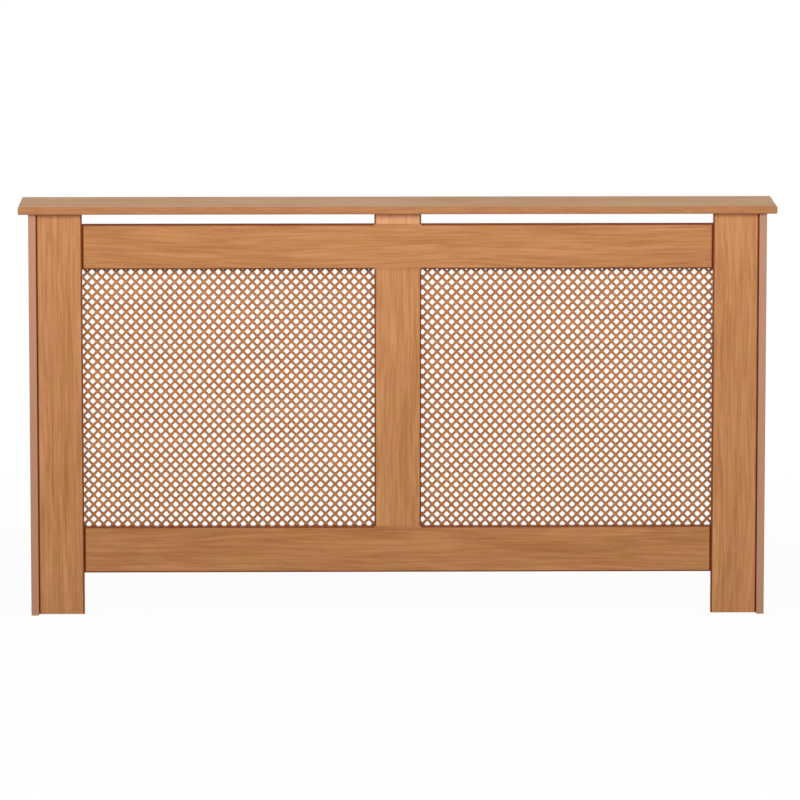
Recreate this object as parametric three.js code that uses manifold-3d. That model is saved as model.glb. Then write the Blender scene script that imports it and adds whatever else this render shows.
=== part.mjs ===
// Radiator cover cabinet.
//
// A free-standing oak-veneered casing that stands in front of a wall radiator.
// Two side panels, each with a broad front post, carry a shelf. Between the posts a flush front
// frame of two rails, a centre stile and a small spacer block leaves two warm-air slots under the
// shelf and two windows, each backed by a diamond-pierced grille sheet. The back is open.
//
// Millimetres. +X is to the right as seen from the front, +Y runs back to the wall, +Z is up.
// The origin is on the floor, under the middle of the shelf.

import * as THREE from "three";
import { mergeGeometries, mergeVertices } from "three/addons/utils/BufferGeometryUtils.js";
import Module from "manifold-3d";

const wasm = await Module();
wasm.setup();

// ---------------------------------------------------------------- driving dimensions

// Shelf
const shelfWidth = 1520;
const shelfDepth = 190;
const shelfThickness = 15;
const shelfEdgeRadius = 2.5;
const shelfSideOverhang = 20;
const shelfFrontOverhang = 10;

// Carcass
const overallHeight = 830;
const sideThickness = 15;
const sideEdgeRadius = 1.5;
const skirtingNotchDepth = 20;
const skirtingNotchHeight = 120;
const postWidth = 92;
const postThickness = 18;
const postSetback = 6; // post face behind the side panel's front edge
const postFloorGap = 2; // the cabinet stands on its side panels

// Front frame
const frameThickness = 15;
const frameEdgeRadius = 2.5;
const slotHeight = 21.5;
const topRailHeight = 91;
const bottomRailHeight = 94;
const bottomClearance = 86;
const stileWidth = 94;

// Grille sheets. The diamonds are drawn this many times the real size, to keep the mesh light.
const grilleThickness = 3;
const grilleLap = 15; // how far a sheet reaches behind the frame
const grilleBorder = 9; // plain band round the diamonds
const diamondPitchX = 19.5;
const diamondPitchZ = 20.1;
const diamondHole = 13.6; // corner to corner
const diamondEnlargement = 3;

// Fits
const jointGap = 0.3; // between pieces that butt or lie on each other
const boreClearance = 0.3; // round a dowel, bolt, peg or screw
const boreEndClearance = 0.5; // beyond its end

// Wooden dowels
const dowelRadius = 4;
const dowelChamfer = 0.8;
const dowelInFrame = 15; // depth into a rail, stile or post end
const dowelInPost = 21; // depth into a post from its side panel or the shelf
const dowelInPanel = 9; // depth into a side panel or the shelf
const sideDowelInset = 115; // lowest and highest one from the post's ends
const stileDowelSpacing = 50;

// Cam locks and their bolts
const camRadius = 7.5;
const camDepth = 12;
const camSetback = 24; // cam centre behind the board end it pulls up
const camCavityRadius = 5;
const camCavityDepth = 8;
const camCrossWidth = 1.6;
const camCrossLength = 9;
const camCrossDepth = 2;
const boltShankRadius = 2.5;
const boltNeckLength = 6; // from the head's centre
const boltNeckRadius = 1.8;
const boltHeadRadius = 3.5;
const boltHeadFlat = 2.4; // radius and height of the flats on the head
const boltThreadLength = 11;
const boltThreadRadius = 3.1;
const boltThreadTurns = 3;
const boltTipRadius = 1.5;
const railFixingSpacing = 44; // cam to dowel at each rail end
const shelfCamFromBack = 45;

// Grille clips: moulded, each with its own peg
const clipWidth = 16;
const clipFoot = 14;
const clipLip = 8;
const clipThickness = 2.4;
const clipPegRadius = 2.5;
const clipPegDepth = 9;
const clipPegInset = 8.5;
const clipFromCorner = 120;

// Wall brackets and their screws
const bracketLeg = 40;
const bracketWidth = 20;
const bracketThickness = 2;
const bracketBendRadius = 3;
const bracketBelowShelf = 90; // to the bracket's middle
const bracketScrewFromWall = [14, 30];
const bracketWallHoleFromPanel = [16, 30];
const bracketWallHoleRadius = 2.3;
const screwHeadRadius = 3.8;
const screwHeadHeight = 1.9;
const screwShankRadius = 1.9;
const screwLength = 12;
const screwTipLength = 3;
const screwCrossWidth = 0.9;
const screwCrossLength = 4;
const screwCrossDepth = 1.2;

// Facets
const roundSides = 12;
const arcSteps = 4;
const CUT_PAST = 1; // how far a cutter runs past the face it opens
const WELD = 1e-4; // corners closer than this are one

// ---------------------------------------------------------------- stations

const backY = shelfDepth / 2;
const shelfFrontY = -shelfDepth / 2;
const sideFrontY = shelfFrontY + shelfFrontOverhang;
const postFrontY = sideFrontY + postSetback;
const frameBackY = postFrontY + postThickness; // rails, stile and posts are flush here
const frameFrontY = frameBackY - frameThickness;
const frameMidY = (frameFrontY + frameBackY) / 2;
const postMidY = (postFrontY + frameBackY) / 2;

const sideOuterX = shelfWidth / 2 - shelfSideOverhang;
const sideInnerX = sideOuterX - sideThickness;
const postOuterX = sideInnerX - jointGap;
const postInnerX = postOuterX - postWidth;
const postMidX = (postOuterX + postInnerX) / 2;
const railEndX = postInnerX - jointGap;
const stileEdgeX = stileWidth / 2;
const bracketOuterX = sideInnerX - jointGap;
const bracketInnerX = bracketOuterX - bracketThickness;

const shelfUnderZ = overallHeight - shelfThickness;
const carcassTopZ = shelfUnderZ - jointGap;
const bracketZ = shelfUnderZ - bracketBelowShelf;
const topRailTopZ = shelfUnderZ - slotHeight;
const topRailBottomZ = topRailTopZ - topRailHeight;
const bottomRailTopZ = bottomClearance + bottomRailHeight;

const SIDES = { left: -1, right: 1 };
const X_AXIS = new THREE.Vector3(1, 0, 0);
const Y_AXIS = new THREE.Vector3(0, 1, 0);
const Z_AXIS = new THREE.Vector3(0, 0, 1);

// ---------------------------------------------------------------- shape helpers

// A closed three.js geometry as a solid that can be cut and joined.
function solidFrom(geometry) {
  const bare = geometry.clone();
  bare.deleteAttribute("normal");
  bare.deleteAttribute("uv");
  const merged = mergeVertices(bare, WELD);
  return new wasm.Manifold(
    new wasm.Mesh({
      numProp: 3,
      vertProperties: new Float32Array(merged.attributes.position.array),
      triVerts: new Uint32Array(merged.index.array),
    }),
  );
}

// The solid back as a geometry, flat shaded.
function geometryFrom(solid) {
  const { numProp, vertProperties, triVerts } = solid.getMesh();
  const positions = new Float32Array(triVerts.length * 3);
  triVerts.forEach((vertex, i) => {
    positions.set(vertProperties.subarray(vertex * numProp, vertex * numProp + 3), i * 3);
  });
  const geometry = new THREE.BufferGeometry();
  geometry.setAttribute("position", new THREE.BufferAttribute(positions, 3));
  geometry.computeVertexNormals();
  return geometry;
}

// A box between two corners.
function block(low, high) {
  const size = high.map((value, i) => value - low[i]);
  const middle = high.map((value, i) => (value + low[i]) / 2);
  return new THREE.BoxGeometry(...size).translate(...middle);
}

// A round bar along x, y or z, from one station to another, through the point [x, y, z].
function bar(axis, radius, from, to, [x, y, z]) {
  const geometry = new THREE.CylinderGeometry(radius, radius, to - from, roundSides);
  const middle = (from + to) / 2;
  if (axis === "x") return geometry.rotateZ(-Math.PI / 2).translate(middle, y, z);
  if (axis === "y") return geometry.translate(x, middle, z);
  return geometry.rotateX(Math.PI / 2).translate(x, y, middle);
}

// What a round-over bit takes off a square edge that runs along x or z.
// The corner is at [a, b] in the plane across the edge, and inward gives the two ways into the board.
function roundOver(axis, radius, from, to, [a, b], [inwardA, inwardB]) {
  const shape = new THREE.Shape();
  shape.moveTo(-CUT_PAST, -CUT_PAST);
  shape.lineTo(radius, -CUT_PAST);
  for (let i = 0; i <= arcSteps; i += 1) {
    const angle = (i / arcSteps) * (Math.PI / 2);
    shape.lineTo(radius - radius * Math.sin(angle), radius - radius * Math.cos(angle));
  }
  shape.lineTo(-CUT_PAST, radius);
  const geometry = new THREE.ExtrudeGeometry(shape, {
    depth: to - from,
    bevelEnabled: false,
  });
  const flipped = inwardA * inwardB < 0;
  geometry.scale(inwardA, inwardB, 1).translate(a, b, from);
  if (flipped) turnFacesRound(geometry);
  // x and y of the section become y and z for an edge along x.
  if (axis === "x") geometry.applyMatrix4(new THREE.Matrix4().makeBasis(Y_AXIS, Z_AXIS, X_AXIS));
  return geometry;
}

// A mirrored geometry has its faces pointing in: swap two corners of each triangle.
function turnFacesRound(geometry) {
  const position = geometry.attributes.position;
  for (let i = 0; i < position.count; i += 3) {
    const [x, y, z] = [position.getX(i), position.getY(i), position.getZ(i)];
    position.setXYZ(i, position.getX(i + 1), position.getY(i + 1), position.getZ(i + 1));
    position.setXYZ(i + 1, x, y, z);
  }
}

// ---------------------------------------------------------------- workpieces

// A board between two corners of the cabinet, with what is cut from it, all in the cabinet's frame.
// The mesh's own geometry is centred, and its position puts it in the cabinet.
function board(name, material, low, high, cutters) {
  const middle = high.map((value, i) => (value + low[i]) / 2);
  const home = middle.map((value) => -value);
  let solid = solidFrom(block(low, high).translate(...home));
  for (const cutter of cutters) {
    solid = solid.subtract(solidFrom(cutter.clone().translate(...home)));
  }
  const mesh = new THREE.Mesh(geometryFrom(solid), material);
  mesh.name = name;
  mesh.position.set(...middle);
  return mesh;
}

// A small part made on its own axes, put in place with a position and a rotation.
function part(name, material, geometry, position, rotation = [0, 0, 0]) {
  const mesh = new THREE.Mesh(geometry, material);
  mesh.name = name;
  mesh.position.set(...position);
  mesh.rotation.set(...rotation);
  return mesh;
}

// ---------------------------------------------------------------- materials

const materials = {
  oak: new THREE.MeshStandardMaterial({ color: 0xbf8658, roughness: 0.5, metalness: 0 }),
  grilleOak: new THREE.MeshStandardMaterial({ color: 0xb47a48, roughness: 0.6, metalness: 0 }),
  beech: new THREE.MeshStandardMaterial({ color: 0xd8b98c, roughness: 0.7, metalness: 0 }),
  zinc: new THREE.MeshStandardMaterial({ color: 0x9c9fa1, roughness: 0.45, metalness: 0.9 }),
  steel: new THREE.MeshStandardMaterial({ color: 0xb9bcbe, roughness: 0.35, metalness: 1 }),
  clipPlastic: new THREE.MeshStandardMaterial({ color: 0x8a5a36, roughness: 0.5, metalness: 0 }),
};

// ---------------------------------------------------------------- where the joints are

// Each joint is written once, in the cabinet's frame, and both boards are bored from it.

// Post to side panel, along x: one near each end of the post and one halfway.
function sideDowels(side) {
  const lowest = postFloorGap + sideDowelInset;
  const highest = carcassTopZ - sideDowelInset;
  return [lowest, (lowest + highest) / 2, highest].map((z, i) => ({
    name: `${side}_post_dowel_${i + 1}`,
    axis: "x",
    from: sideInnerX - dowelInPost,
    to: sideInnerX + dowelInPanel,
    at: [0, postMidY, z],
    sign: SIDES[side],
  }));
}

// Post to shelf, upright.
function shelfDowel(side) {
  return {
    name: `${side}_shelf_dowel`,
    axis: "z",
    from: shelfUnderZ - dowelInPost,
    to: shelfUnderZ + dowelInPanel,
    at: [SIDES[side] * postMidX, postMidY, 0],
    sign: 1,
  };
}

// Centre stile to the two rails, and spacer block to rail and shelf, upright.
function stileDowels() {
  const runs = [
    ["stile_lower_dowel", bottomRailTopZ - dowelInFrame, bottomRailTopZ + dowelInFrame],
    ["stile_upper_dowel", topRailBottomZ - dowelInFrame, topRailBottomZ + dowelInFrame],
    ["spacer_dowel", topRailTopZ - dowelInFrame, shelfUnderZ + dowelInPanel],
  ];
  return runs.flatMap(([run, from, to]) =>
    Object.entries(SIDES).map(([side, sign]) => ({
      name: `${run}_${side}`,
      axis: "z",
      from,
      to,
      at: [(sign * stileDowelSpacing) / 2, frameMidY, 0],
      sign: 1,
    })),
  );
}

// Rail ends to posts: a cam lock above and a dowel below, both along x.
function railJoint(rail, side) {
  const railMidZ = {
    top: (topRailTopZ + topRailBottomZ) / 2,
    bottom: bottomClearance + bottomRailHeight / 2,
  }[rail];
  return {
    dowel: {
      name: `${rail}_rail_dowel_${side}`,
      axis: "x",
      from: railEndX - dowelInFrame,
      to: railEndX + dowelInFrame,
      at: [0, frameMidY, railMidZ - railFixingSpacing / 2],
      sign: SIDES[side],
    },
    camX: railEndX - camSetback,
    camZ: railMidZ + railFixingSpacing / 2,
  };
}

// Cam lock between shelf and side panel, near the wall.
const shelfCamY = backY - shelfCamFromBack;
const shelfCamZ = carcassTopZ - camSetback;
const shelfCamX = (sideInnerX + sideOuterX) / 2;

// The bore for a dowel, through every board that it enters.
function dowelBore({ axis, from, to, at, sign }) {
  const ends = [from - boreEndClearance, to + boreEndClearance].map((end) => end * sign);
  return bar(axis, dowelRadius + boreClearance, Math.min(...ends), Math.max(...ends), at);
}

// ---------------------------------------------------------------- boards

// The shelf is rounded over along its front and both ends, above and below.
function shelf() {
  const half = shelfWidth / 2;
  const radius = shelfEdgeRadius;
  const cutters = [];
  for (const [z, up] of [[shelfUnderZ, 1], [overallHeight, -1]]) {
    cutters.push(
      roundOver("x", radius, -half - CUT_PAST, half + CUT_PAST, [shelfFrontY, z], [1, up]),
    );
    for (const sign of [-1, 1]) {
      // An end of the shelf: the cutter for an edge along x, turned a quarter about z.
      const edge = roundOver("x", radius, -half, half, [-half, z], [1, up]);
      cutters.push(edge.rotateZ((sign * Math.PI) / 2));
    }
  }
  for (const side of Object.keys(SIDES)) {
    cutters.push(dowelBore(shelfDowel(side)));
    cutters.push(
      bar("z", boltThreadRadius + boreClearance, shelfUnderZ - CUT_PAST,
        shelfUnderZ + boltThreadLength + boreEndClearance, [SIDES[side] * shelfCamX, shelfCamY, 0]),
    );
  }
  cutters.push(...stileDowels().map(dowelBore));
  return board("top_shelf", materials.oak,
    [-half, shelfFrontY, shelfUnderZ], [half, backY, overallHeight], cutters);
}

// A side panel, notched at its lower back corner for the skirting board.
function sidePanel(side) {
  const sign = SIDES[side];
  const xs = [sideInnerX * sign, sideOuterX * sign].sort((a, b) => a - b);
  const innerX = sideInnerX * sign;
  const mouthX = (sideInnerX - CUT_PAST) * sign;
  const camEndX = (sideInnerX + camDepth + boreClearance) * sign;
  const screwEndX = (bracketInnerX + screwLength + boreEndClearance) * sign;
  const cutters = [
    block([xs[0] - CUT_PAST, backY - skirtingNotchDepth, -CUT_PAST],
      [xs[1] + CUT_PAST, backY + CUT_PAST, skirtingNotchHeight]),
    roundOver("z", sideEdgeRadius, -CUT_PAST, carcassTopZ + CUT_PAST, [xs[0], sideFrontY], [1, 1]),
    roundOver("z", sideEdgeRadius, -CUT_PAST, carcassTopZ + CUT_PAST, [xs[1], sideFrontY], [-1, 1]),
    bar("x", camRadius + boreClearance, Math.min(mouthX, camEndX), Math.max(mouthX, camEndX),
      [innerX, shelfCamY, shelfCamZ]),
    bar("z", boltShankRadius + boreClearance, shelfCamZ, carcassTopZ + CUT_PAST,
      [sign * shelfCamX, shelfCamY, 0]),
    ...sideDowels(side).map(dowelBore),
    ...bracketScrewFromWall.map((fromWall) =>
      bar("x", screwShankRadius + boreClearance, Math.min(mouthX, screwEndX),
        Math.max(mouthX, screwEndX), [0, backY - fromWall, bracketZ])),
  ];
  return board(`${side}_side_panel`, materials.oak,
    [xs[0], sideFrontY, 0], [xs[1], backY, carcassTopZ], cutters);
}

// A front post, rounded over along both front edges.
function frontPost(side) {
  const sign = SIDES[side];
  const xs = [postInnerX * sign, postOuterX * sign].sort((a, b) => a - b);
  const edges = [[xs[0], 1], [xs[1], -1]].map(([x, inward]) =>
    roundOver("z", frameEdgeRadius, -CUT_PAST, carcassTopZ + CUT_PAST,
      [x, postFrontY], [inward, 1]));
  const cutters = [...edges, ...sideDowels(side).map(dowelBore), dowelBore(shelfDowel(side))];
  for (const rail of ["top", "bottom"]) {
    const { dowel, camZ } = railJoint(rail, side);
    const boltEnds = [postInnerX - CUT_PAST, postInnerX + boltThreadLength + boreEndClearance]
      .map((x) => x * sign);
    cutters.push(
      dowelBore(dowel),
      bar("x", boltThreadRadius + boreClearance, Math.min(...boltEnds), Math.max(...boltEnds),
        [0, frameMidY, camZ]),
    );
  }
  cutters.push(...clipSpots(side).filter((spot) => spot.board === "post").map(clipPegBore));
  return board(`${side}_front_post`, materials.oak,
    [xs[0], postFrontY, postFloorGap], [xs[1], frameBackY, carcassTopZ], cutters);
}

// The fixings at both ends of a rail: cam bore, bolt bore and dowel bore.
function railEndCutters(rail) {
  return Object.entries(SIDES).flatMap(([side, sign]) => {
    const { dowel, camX, camZ } = railJoint(rail, side);
    const boltEnds = [camX * sign, (railEndX + CUT_PAST) * sign].sort((a, b) => a - b);
    return [
      dowelBore(dowel),
      bar("y", camRadius + boreClearance, frameBackY - camDepth - boreClearance,
        frameBackY + CUT_PAST, [camX * sign, 0, camZ]),
      bar("x", boltShankRadius + boreClearance, ...boltEnds, [0, frameMidY, camZ]),
    ];
  });
}

// Round-overs along the front edge of a rail, where a slot or window opens beside it,
// but not where the stile or the spacer block meets it flush.
function windowEdges(z, up) {
  return Object.values(SIDES).map((sign) => {
    const ends = [stileEdgeX * sign, (railEndX + CUT_PAST) * sign].sort((a, b) => a - b);
    return roundOver("x", frameEdgeRadius, ...ends, [frameFrontY, z], [1, up]);
  });
}

// Round-overs down the front corners of a rail's two ends, beside the posts.
function railEndEdges(low, high) {
  return Object.values(SIDES).map((sign) =>
    roundOver("z", frameEdgeRadius, low - CUT_PAST, high + CUT_PAST,
      [railEndX * sign, frameFrontY], [-sign, 1]));
}

function railPegBores(rail) {
  return Object.keys(SIDES).flatMap((side) =>
    clipSpots(side).filter((spot) => spot.board === rail).map(clipPegBore));
}

function topRail() {
  return board("top_rail", materials.oak,
    [-railEndX, frameFrontY, topRailBottomZ], [railEndX, frameBackY, topRailTopZ],
    [
      ...windowEdges(topRailTopZ, -1),
      ...windowEdges(topRailBottomZ, 1),
      ...railEndEdges(topRailBottomZ, topRailTopZ),
      ...railEndCutters("top"),
      ...railPegBores("top"),
      ...stileDowels().map(dowelBore),
    ]);
}

function bottomRail() {
  return board("bottom_rail", materials.oak,
    [-railEndX, frameFrontY, bottomClearance], [railEndX, frameBackY, bottomRailTopZ],
    [
      ...windowEdges(bottomRailTopZ, -1),
      roundOver("x", frameEdgeRadius, -railEndX - CUT_PAST, railEndX + CUT_PAST,
        [frameFrontY, bottomClearance], [1, 1]),
      ...railEndEdges(bottomClearance, bottomRailTopZ),
      ...railEndCutters("bottom"),
      ...railPegBores("bottom"),
      ...stileDowels().map(dowelBore),
    ]);
}

// The stile and the spacer block share one section: a board rounded over on both front edges.
function uprightInFrame(name, low, high, extraCutters) {
  const edges = Object.values(SIDES).map((sign) =>
    roundOver("z", frameEdgeRadius, low - CUT_PAST, high + CUT_PAST,
      [stileEdgeX * sign, frameFrontY], [-sign, 1]));
  return board(name, materials.oak,
    [-stileEdgeX, frameFrontY, low], [stileEdgeX, frameBackY, high],
    [...edges, ...stileDowels().map(dowelBore), ...extraCutters]);
}

function centreStile() {
  const pegs = Object.keys(SIDES).flatMap((side) =>
    clipSpots(side).filter((spot) => spot.board === "stile").map(clipPegBore));
  return uprightInFrame("centre_stile", bottomRailTopZ + jointGap, topRailBottomZ - jointGap, pegs);
}

function spacerBlock() {
  return uprightInFrame("spacer_block", topRailTopZ + jointGap, carcassTopZ, []);
}

// ---------------------------------------------------------------- grilles

// The window that a sheet covers, and the sheet's own edges.
function grilleWindow(side) {
  const xs = [stileEdgeX * SIDES[side], postInnerX * SIDES[side]].sort((a, b) => a - b);
  return { low: [xs[0], bottomRailTopZ], high: [xs[1], topRailBottomZ] };
}

function grilleEdges(side) {
  const { low, high } = grilleWindow(side);
  return {
    low: low.map((value) => value - grilleLap),
    high: high.map((value) => value + grilleLap),
  };
}

// A sheet pierced with diamonds in staggered rows, cut off square at the plain border.
function grille(side) {
  const { low, high } = grilleEdges(side);
  const middle = low.map((value, i) => (value + high[i]) / 2);
  const half = high.map((value, i) => value - middle[i]);
  const pitchX = diamondPitchX * diamondEnlargement;
  const pitchZ = diamondPitchZ * diamondEnlargement;
  const reachX = (diamondHole * diamondEnlargement) / 2;
  const reachZ = (reachX * diamondPitchZ) / diamondPitchX;
  const pierced = half.map((value) => value - grilleBorder);

  const diamond = new THREE.Shape();
  diamond.moveTo(reachX, 0);
  diamond.lineTo(0, reachZ);
  diamond.lineTo(-reachX, 0);
  diamond.lineTo(0, -reachZ);
  const prism = new THREE.ExtrudeGeometry(diamond, {
    depth: grilleThickness + 2 * CUT_PAST,
    bevelEnabled: false,
  });
  prism.translate(0, 0, -grilleThickness / 2 - CUT_PAST);

  const prisms = [];
  const rows = Math.ceil((2 * pierced[1]) / pitchZ);
  const columns = Math.ceil((2 * pierced[0]) / pitchX);
  for (let row = -rows; row <= rows; row += 1) {
    for (let column = -columns; column <= columns; column += 1) {
      const x = (column + (Math.abs(row) % 2) / 2) * pitchX;
      const z = (row * pitchZ) / 2;
      const inside = Math.abs(x) < pierced[0] + reachX && Math.abs(z) < pierced[1] + reachZ;
      if (inside) prisms.push(prism.clone().translate(x, z, 0));
    }
  }
  const reach = grilleThickness / 2 + CUT_PAST;
  const field = block([-pierced[0], -pierced[1], -reach], [pierced[0], pierced[1], reach]);
  const holes = solidFrom(mergeGeometries(prisms)).intersect(solidFrom(field));
  const sheet = block([-half[0], -half[1], -grilleThickness / 2],
    [half[0], half[1], grilleThickness / 2]);
  const geometry = geometryFrom(solidFrom(sheet).subtract(holes));
  return part(`${side}_grille`, materials.grilleOak, geometry,
    [middle[0], frameBackY + jointGap + grilleThickness / 2, middle[1]], [Math.PI / 2, 0, 0]);
}

// Where a sheet's clips go: two on each rail, one on the post and one on the stile.
// turn is the clip's angle about the y axis: 0 puts its foot above the sheet.
function clipSpots(side) {
  const { low, high } = grilleEdges(side);
  const inner = SIDES[side] < 0 ? high[0] : low[0];
  const outer = SIDES[side] < 0 ? low[0] : high[0];
  const midZ = (low[1] + high[1]) / 2;
  const towardsPost = SIDES[side] < 0 ? -Math.PI / 2 : Math.PI / 2;
  const alongRail = [low[0] + clipFromCorner, high[0] - clipFromCorner];
  return [
    ...alongRail.map((x, i) => ({ board: "top", name: `${side}_grille_clip_top_${i + 1}`,
      x, z: high[1], turn: 0 })),
    ...alongRail.map((x, i) => ({ board: "bottom", name: `${side}_grille_clip_bottom_${i + 1}`,
      x, z: low[1], turn: Math.PI })),
    { board: "post", name: `${side}_grille_clip_post`, x: outer, z: midZ, turn: towardsPost },
    { board: "stile", name: `${side}_grille_clip_stile`, x: inner, z: midZ, turn: -towardsPost },
  ];
}

function clipPegBore({ x, z, turn }) {
  const pegX = x + Math.sin(turn) * clipPegInset;
  const pegZ = z + Math.cos(turn) * clipPegInset;
  return bar("y", clipPegRadius + boreClearance, frameBackY - clipPegDepth - boreEndClearance,
    frameBackY + CUT_PAST, [pegX, 0, pegZ]);
}

// A clip's foot lies on the frame and its lip holds the edge of the sheet.
function clipGeometry() {
  const lipUnder = grilleThickness + jointGap;
  const lipOver = lipUnder + clipThickness;
  const section = new THREE.Shape();
  section.moveTo(jointGap, 0);
  section.lineTo(clipFoot, 0);
  section.lineTo(clipFoot, clipThickness);
  section.lineTo(jointGap + clipThickness, clipThickness);
  section.lineTo(jointGap + clipThickness, lipOver);
  section.lineTo(-clipLip, lipOver);
  section.lineTo(-clipLip, lipUnder);
  section.lineTo(jointGap, lipUnder);
  const strip = new THREE.ExtrudeGeometry(section, { depth: clipWidth, bevelEnabled: false });
  // The section's x becomes z, its y becomes y and its depth becomes -x.
  strip.translate(0, 0, -clipWidth / 2).rotateY(-Math.PI / 2);
  const peg = new THREE.CylinderGeometry(
    clipPegRadius, clipPegRadius, clipPegDepth + clipThickness / 2, roundSides);
  peg.translate(0, (clipThickness / 2 - clipPegDepth) / 2, clipPegInset);
  return geometryFrom(solidFrom(strip).add(solidFrom(peg)));
}

function grilleClips(side) {
  return clipSpots(side).map(({ name, x, z, turn }) =>
    part(name, materials.clipPlastic, clipGeometry(), [x, frameBackY + jointGap, z], [0, turn, 0]));
}

// ---------------------------------------------------------------- dowels, cams and bolts

// A profile of [radius, height] points turned about the y axis. It starts and ends on the axis.
function turned(points) {
  return new THREE.LatheGeometry(points.map(([r, h]) => new THREE.Vector2(r, h)), roundSides);
}

// Turns a part made along +y so that it lies along x or z.
const ALONG = { x: [0, 0, -Math.PI / 2], z: [Math.PI / 2, 0, 0] };

function dowel({ name, axis, from, to, at, sign }) {
  const half = (to - from) / 2;
  const geometry = turned([
    [0, -half],
    [dowelRadius - dowelChamfer, -half],
    [dowelRadius, -half + dowelChamfer],
    [dowelRadius, half - dowelChamfer],
    [dowelRadius - dowelChamfer, half],
    [0, half],
  ]);
  const middle = (sign * (from + to)) / 2;
  const position = axis === "x" ? [middle, at[1], at[2]] : [at[0], at[1], middle];
  return part(name, materials.beech, geometry, position, ALONG[axis]);
}

// A cam lock on its own axes: its face is at y = 0, it reaches to -camDepth, and the side that
// takes the bolt faces +x. The bolt lies in the middle of the board.
function camGeometry(boardThickness) {
  const middle = -boardThickness / 2;
  const body = bar("y", camRadius, -camDepth, 0, [0, 0, 0]);
  const cavity = bar("y", camCavityRadius, middle - camCavityDepth / 2,
    middle + camCavityDepth / 2, [0, 0, 0]);
  const gate = boltShankRadius + 2 * boreClearance;
  const mouth = block([0, middle - gate, -gate], [camRadius + CUT_PAST, middle + gate, gate]);
  const arm = camCrossLength / 2;
  const blade = camCrossWidth / 2;
  const crossOne = block([-arm, -camCrossDepth, -blade], [arm, CUT_PAST, blade]);
  const crossTwo = block([-blade, -camCrossDepth, -arm], [blade, CUT_PAST, arm]);
  return geometryFrom([cavity, mouth, crossOne, crossTwo]
    .reduce((solid, cutter) => solid.subtract(solidFrom(cutter)), solidFrom(body)));
}

// A cam bolt along +y: its head is centred at y = 0 in the cam, and its thread ends in the board
// that the cam pulls on.
function boltGeometry(reach) {
  const ridge = boltThreadLength / boltThreadTurns;
  const thread = [];
  for (let turn = 0; turn < boltThreadTurns; turn += 1) {
    const start = reach + turn * ridge;
    thread.push([boltShankRadius, start], [boltThreadRadius, start + ridge / 2]);
  }
  const tip = reach + boltThreadLength;
  return turned([
    [0, -boltHeadFlat],
    [boltHeadFlat, -boltHeadFlat],
    [boltHeadRadius, 0],
    [boltNeckRadius, boltHeadFlat],
    [boltNeckRadius, boltNeckLength],
    [boltShankRadius, boltNeckLength + boltShankRadius - boltNeckRadius],
    ...thread,
    [boltTipRadius, tip],
    [0, tip],
  ]);
}

// The four rail joints: a cam sunk in the back of the rail, and its bolt out of the post.
function railFixings(rail, side) {
  const sign = SIDES[side];
  const { dowel: peg, camX, camZ } = railJoint(rail, side);
  const at = [camX * sign, frameBackY, camZ];
  const boltReach = postInnerX - camX;
  return [
    part(`${rail}_rail_cam_${side}`, materials.zinc, camGeometry(frameThickness), at,
      [0, sign > 0 ? 0 : Math.PI, 0]),
    part(`${rail}_rail_cam_bolt_${side}`, materials.steel, boltGeometry(boltReach),
      [at[0], frameMidY, camZ], [0, 0, (-sign * Math.PI) / 2]),
    dowel(peg),
  ];
}

// The shelf joint near the wall: a cam in the inner face of the side panel, its bolt hanging
// from the shelf. The cam is turned so that its face looks inwards and its mouth looks up.
function shelfFixings(side) {
  const sign = SIDES[side];
  const inwards = new THREE.Vector3(-sign, 0, 0);
  const sideways = new THREE.Vector3().crossVectors(Z_AXIS, inwards);
  const turn = new THREE.Matrix4().makeBasis(Z_AXIS, inwards, sideways);
  const { x, y, z } = new THREE.Euler().setFromRotationMatrix(turn);
  return [
    part(`${side}_shelf_cam`, materials.zinc, camGeometry(sideThickness),
      [sideInnerX * sign, shelfCamY, shelfCamZ], [x, y, z]),
    part(`${side}_shelf_cam_bolt`, materials.steel, boltGeometry(shelfUnderZ - shelfCamZ),
      [shelfCamX * sign, shelfCamY, shelfCamZ], ALONG.z),
    dowel(shelfDowel(side)),
  ];
}

// ---------------------------------------------------------------- wall brackets

// A cross-headed recess, sunk into the face at y = 0 of a part made along +y.
function crossRecess(length, width, depth) {
  return [
    block([-length / 2, -CUT_PAST, -width / 2], [length / 2, depth, width / 2]),
    block([-width / 2, -CUT_PAST, -length / 2], [width / 2, depth, length / 2]),
  ];
}

// A countersunk screw along +y, its head flush at y = 0.
function screwGeometry() {
  const body = turned([
    [0, 0],
    [screwHeadRadius, 0],
    [screwShankRadius, screwHeadHeight],
    [screwShankRadius, screwLength - screwTipLength],
    [0, screwLength],
  ]);
  return geometryFrom(crossRecess(screwCrossLength, screwCrossWidth, screwCrossDepth)
    .reduce((solid, cutter) => solid.subtract(solidFrom(cutter)), solidFrom(body)));
}

// The countersunk hole in a bracket leg that the screw goes through.
function screwHole() {
  const headHole = screwHeadRadius + boreClearance;
  const shankHole = screwShankRadius + boreClearance;
  const past = bracketThickness + CUT_PAST;
  return turned([
    [0, -CUT_PAST],
    [headHole, -CUT_PAST],
    [headHole, 0],
    [shankHole, screwHeadHeight],
    [shankHole, past],
    [0, past],
  ]);
}

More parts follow.
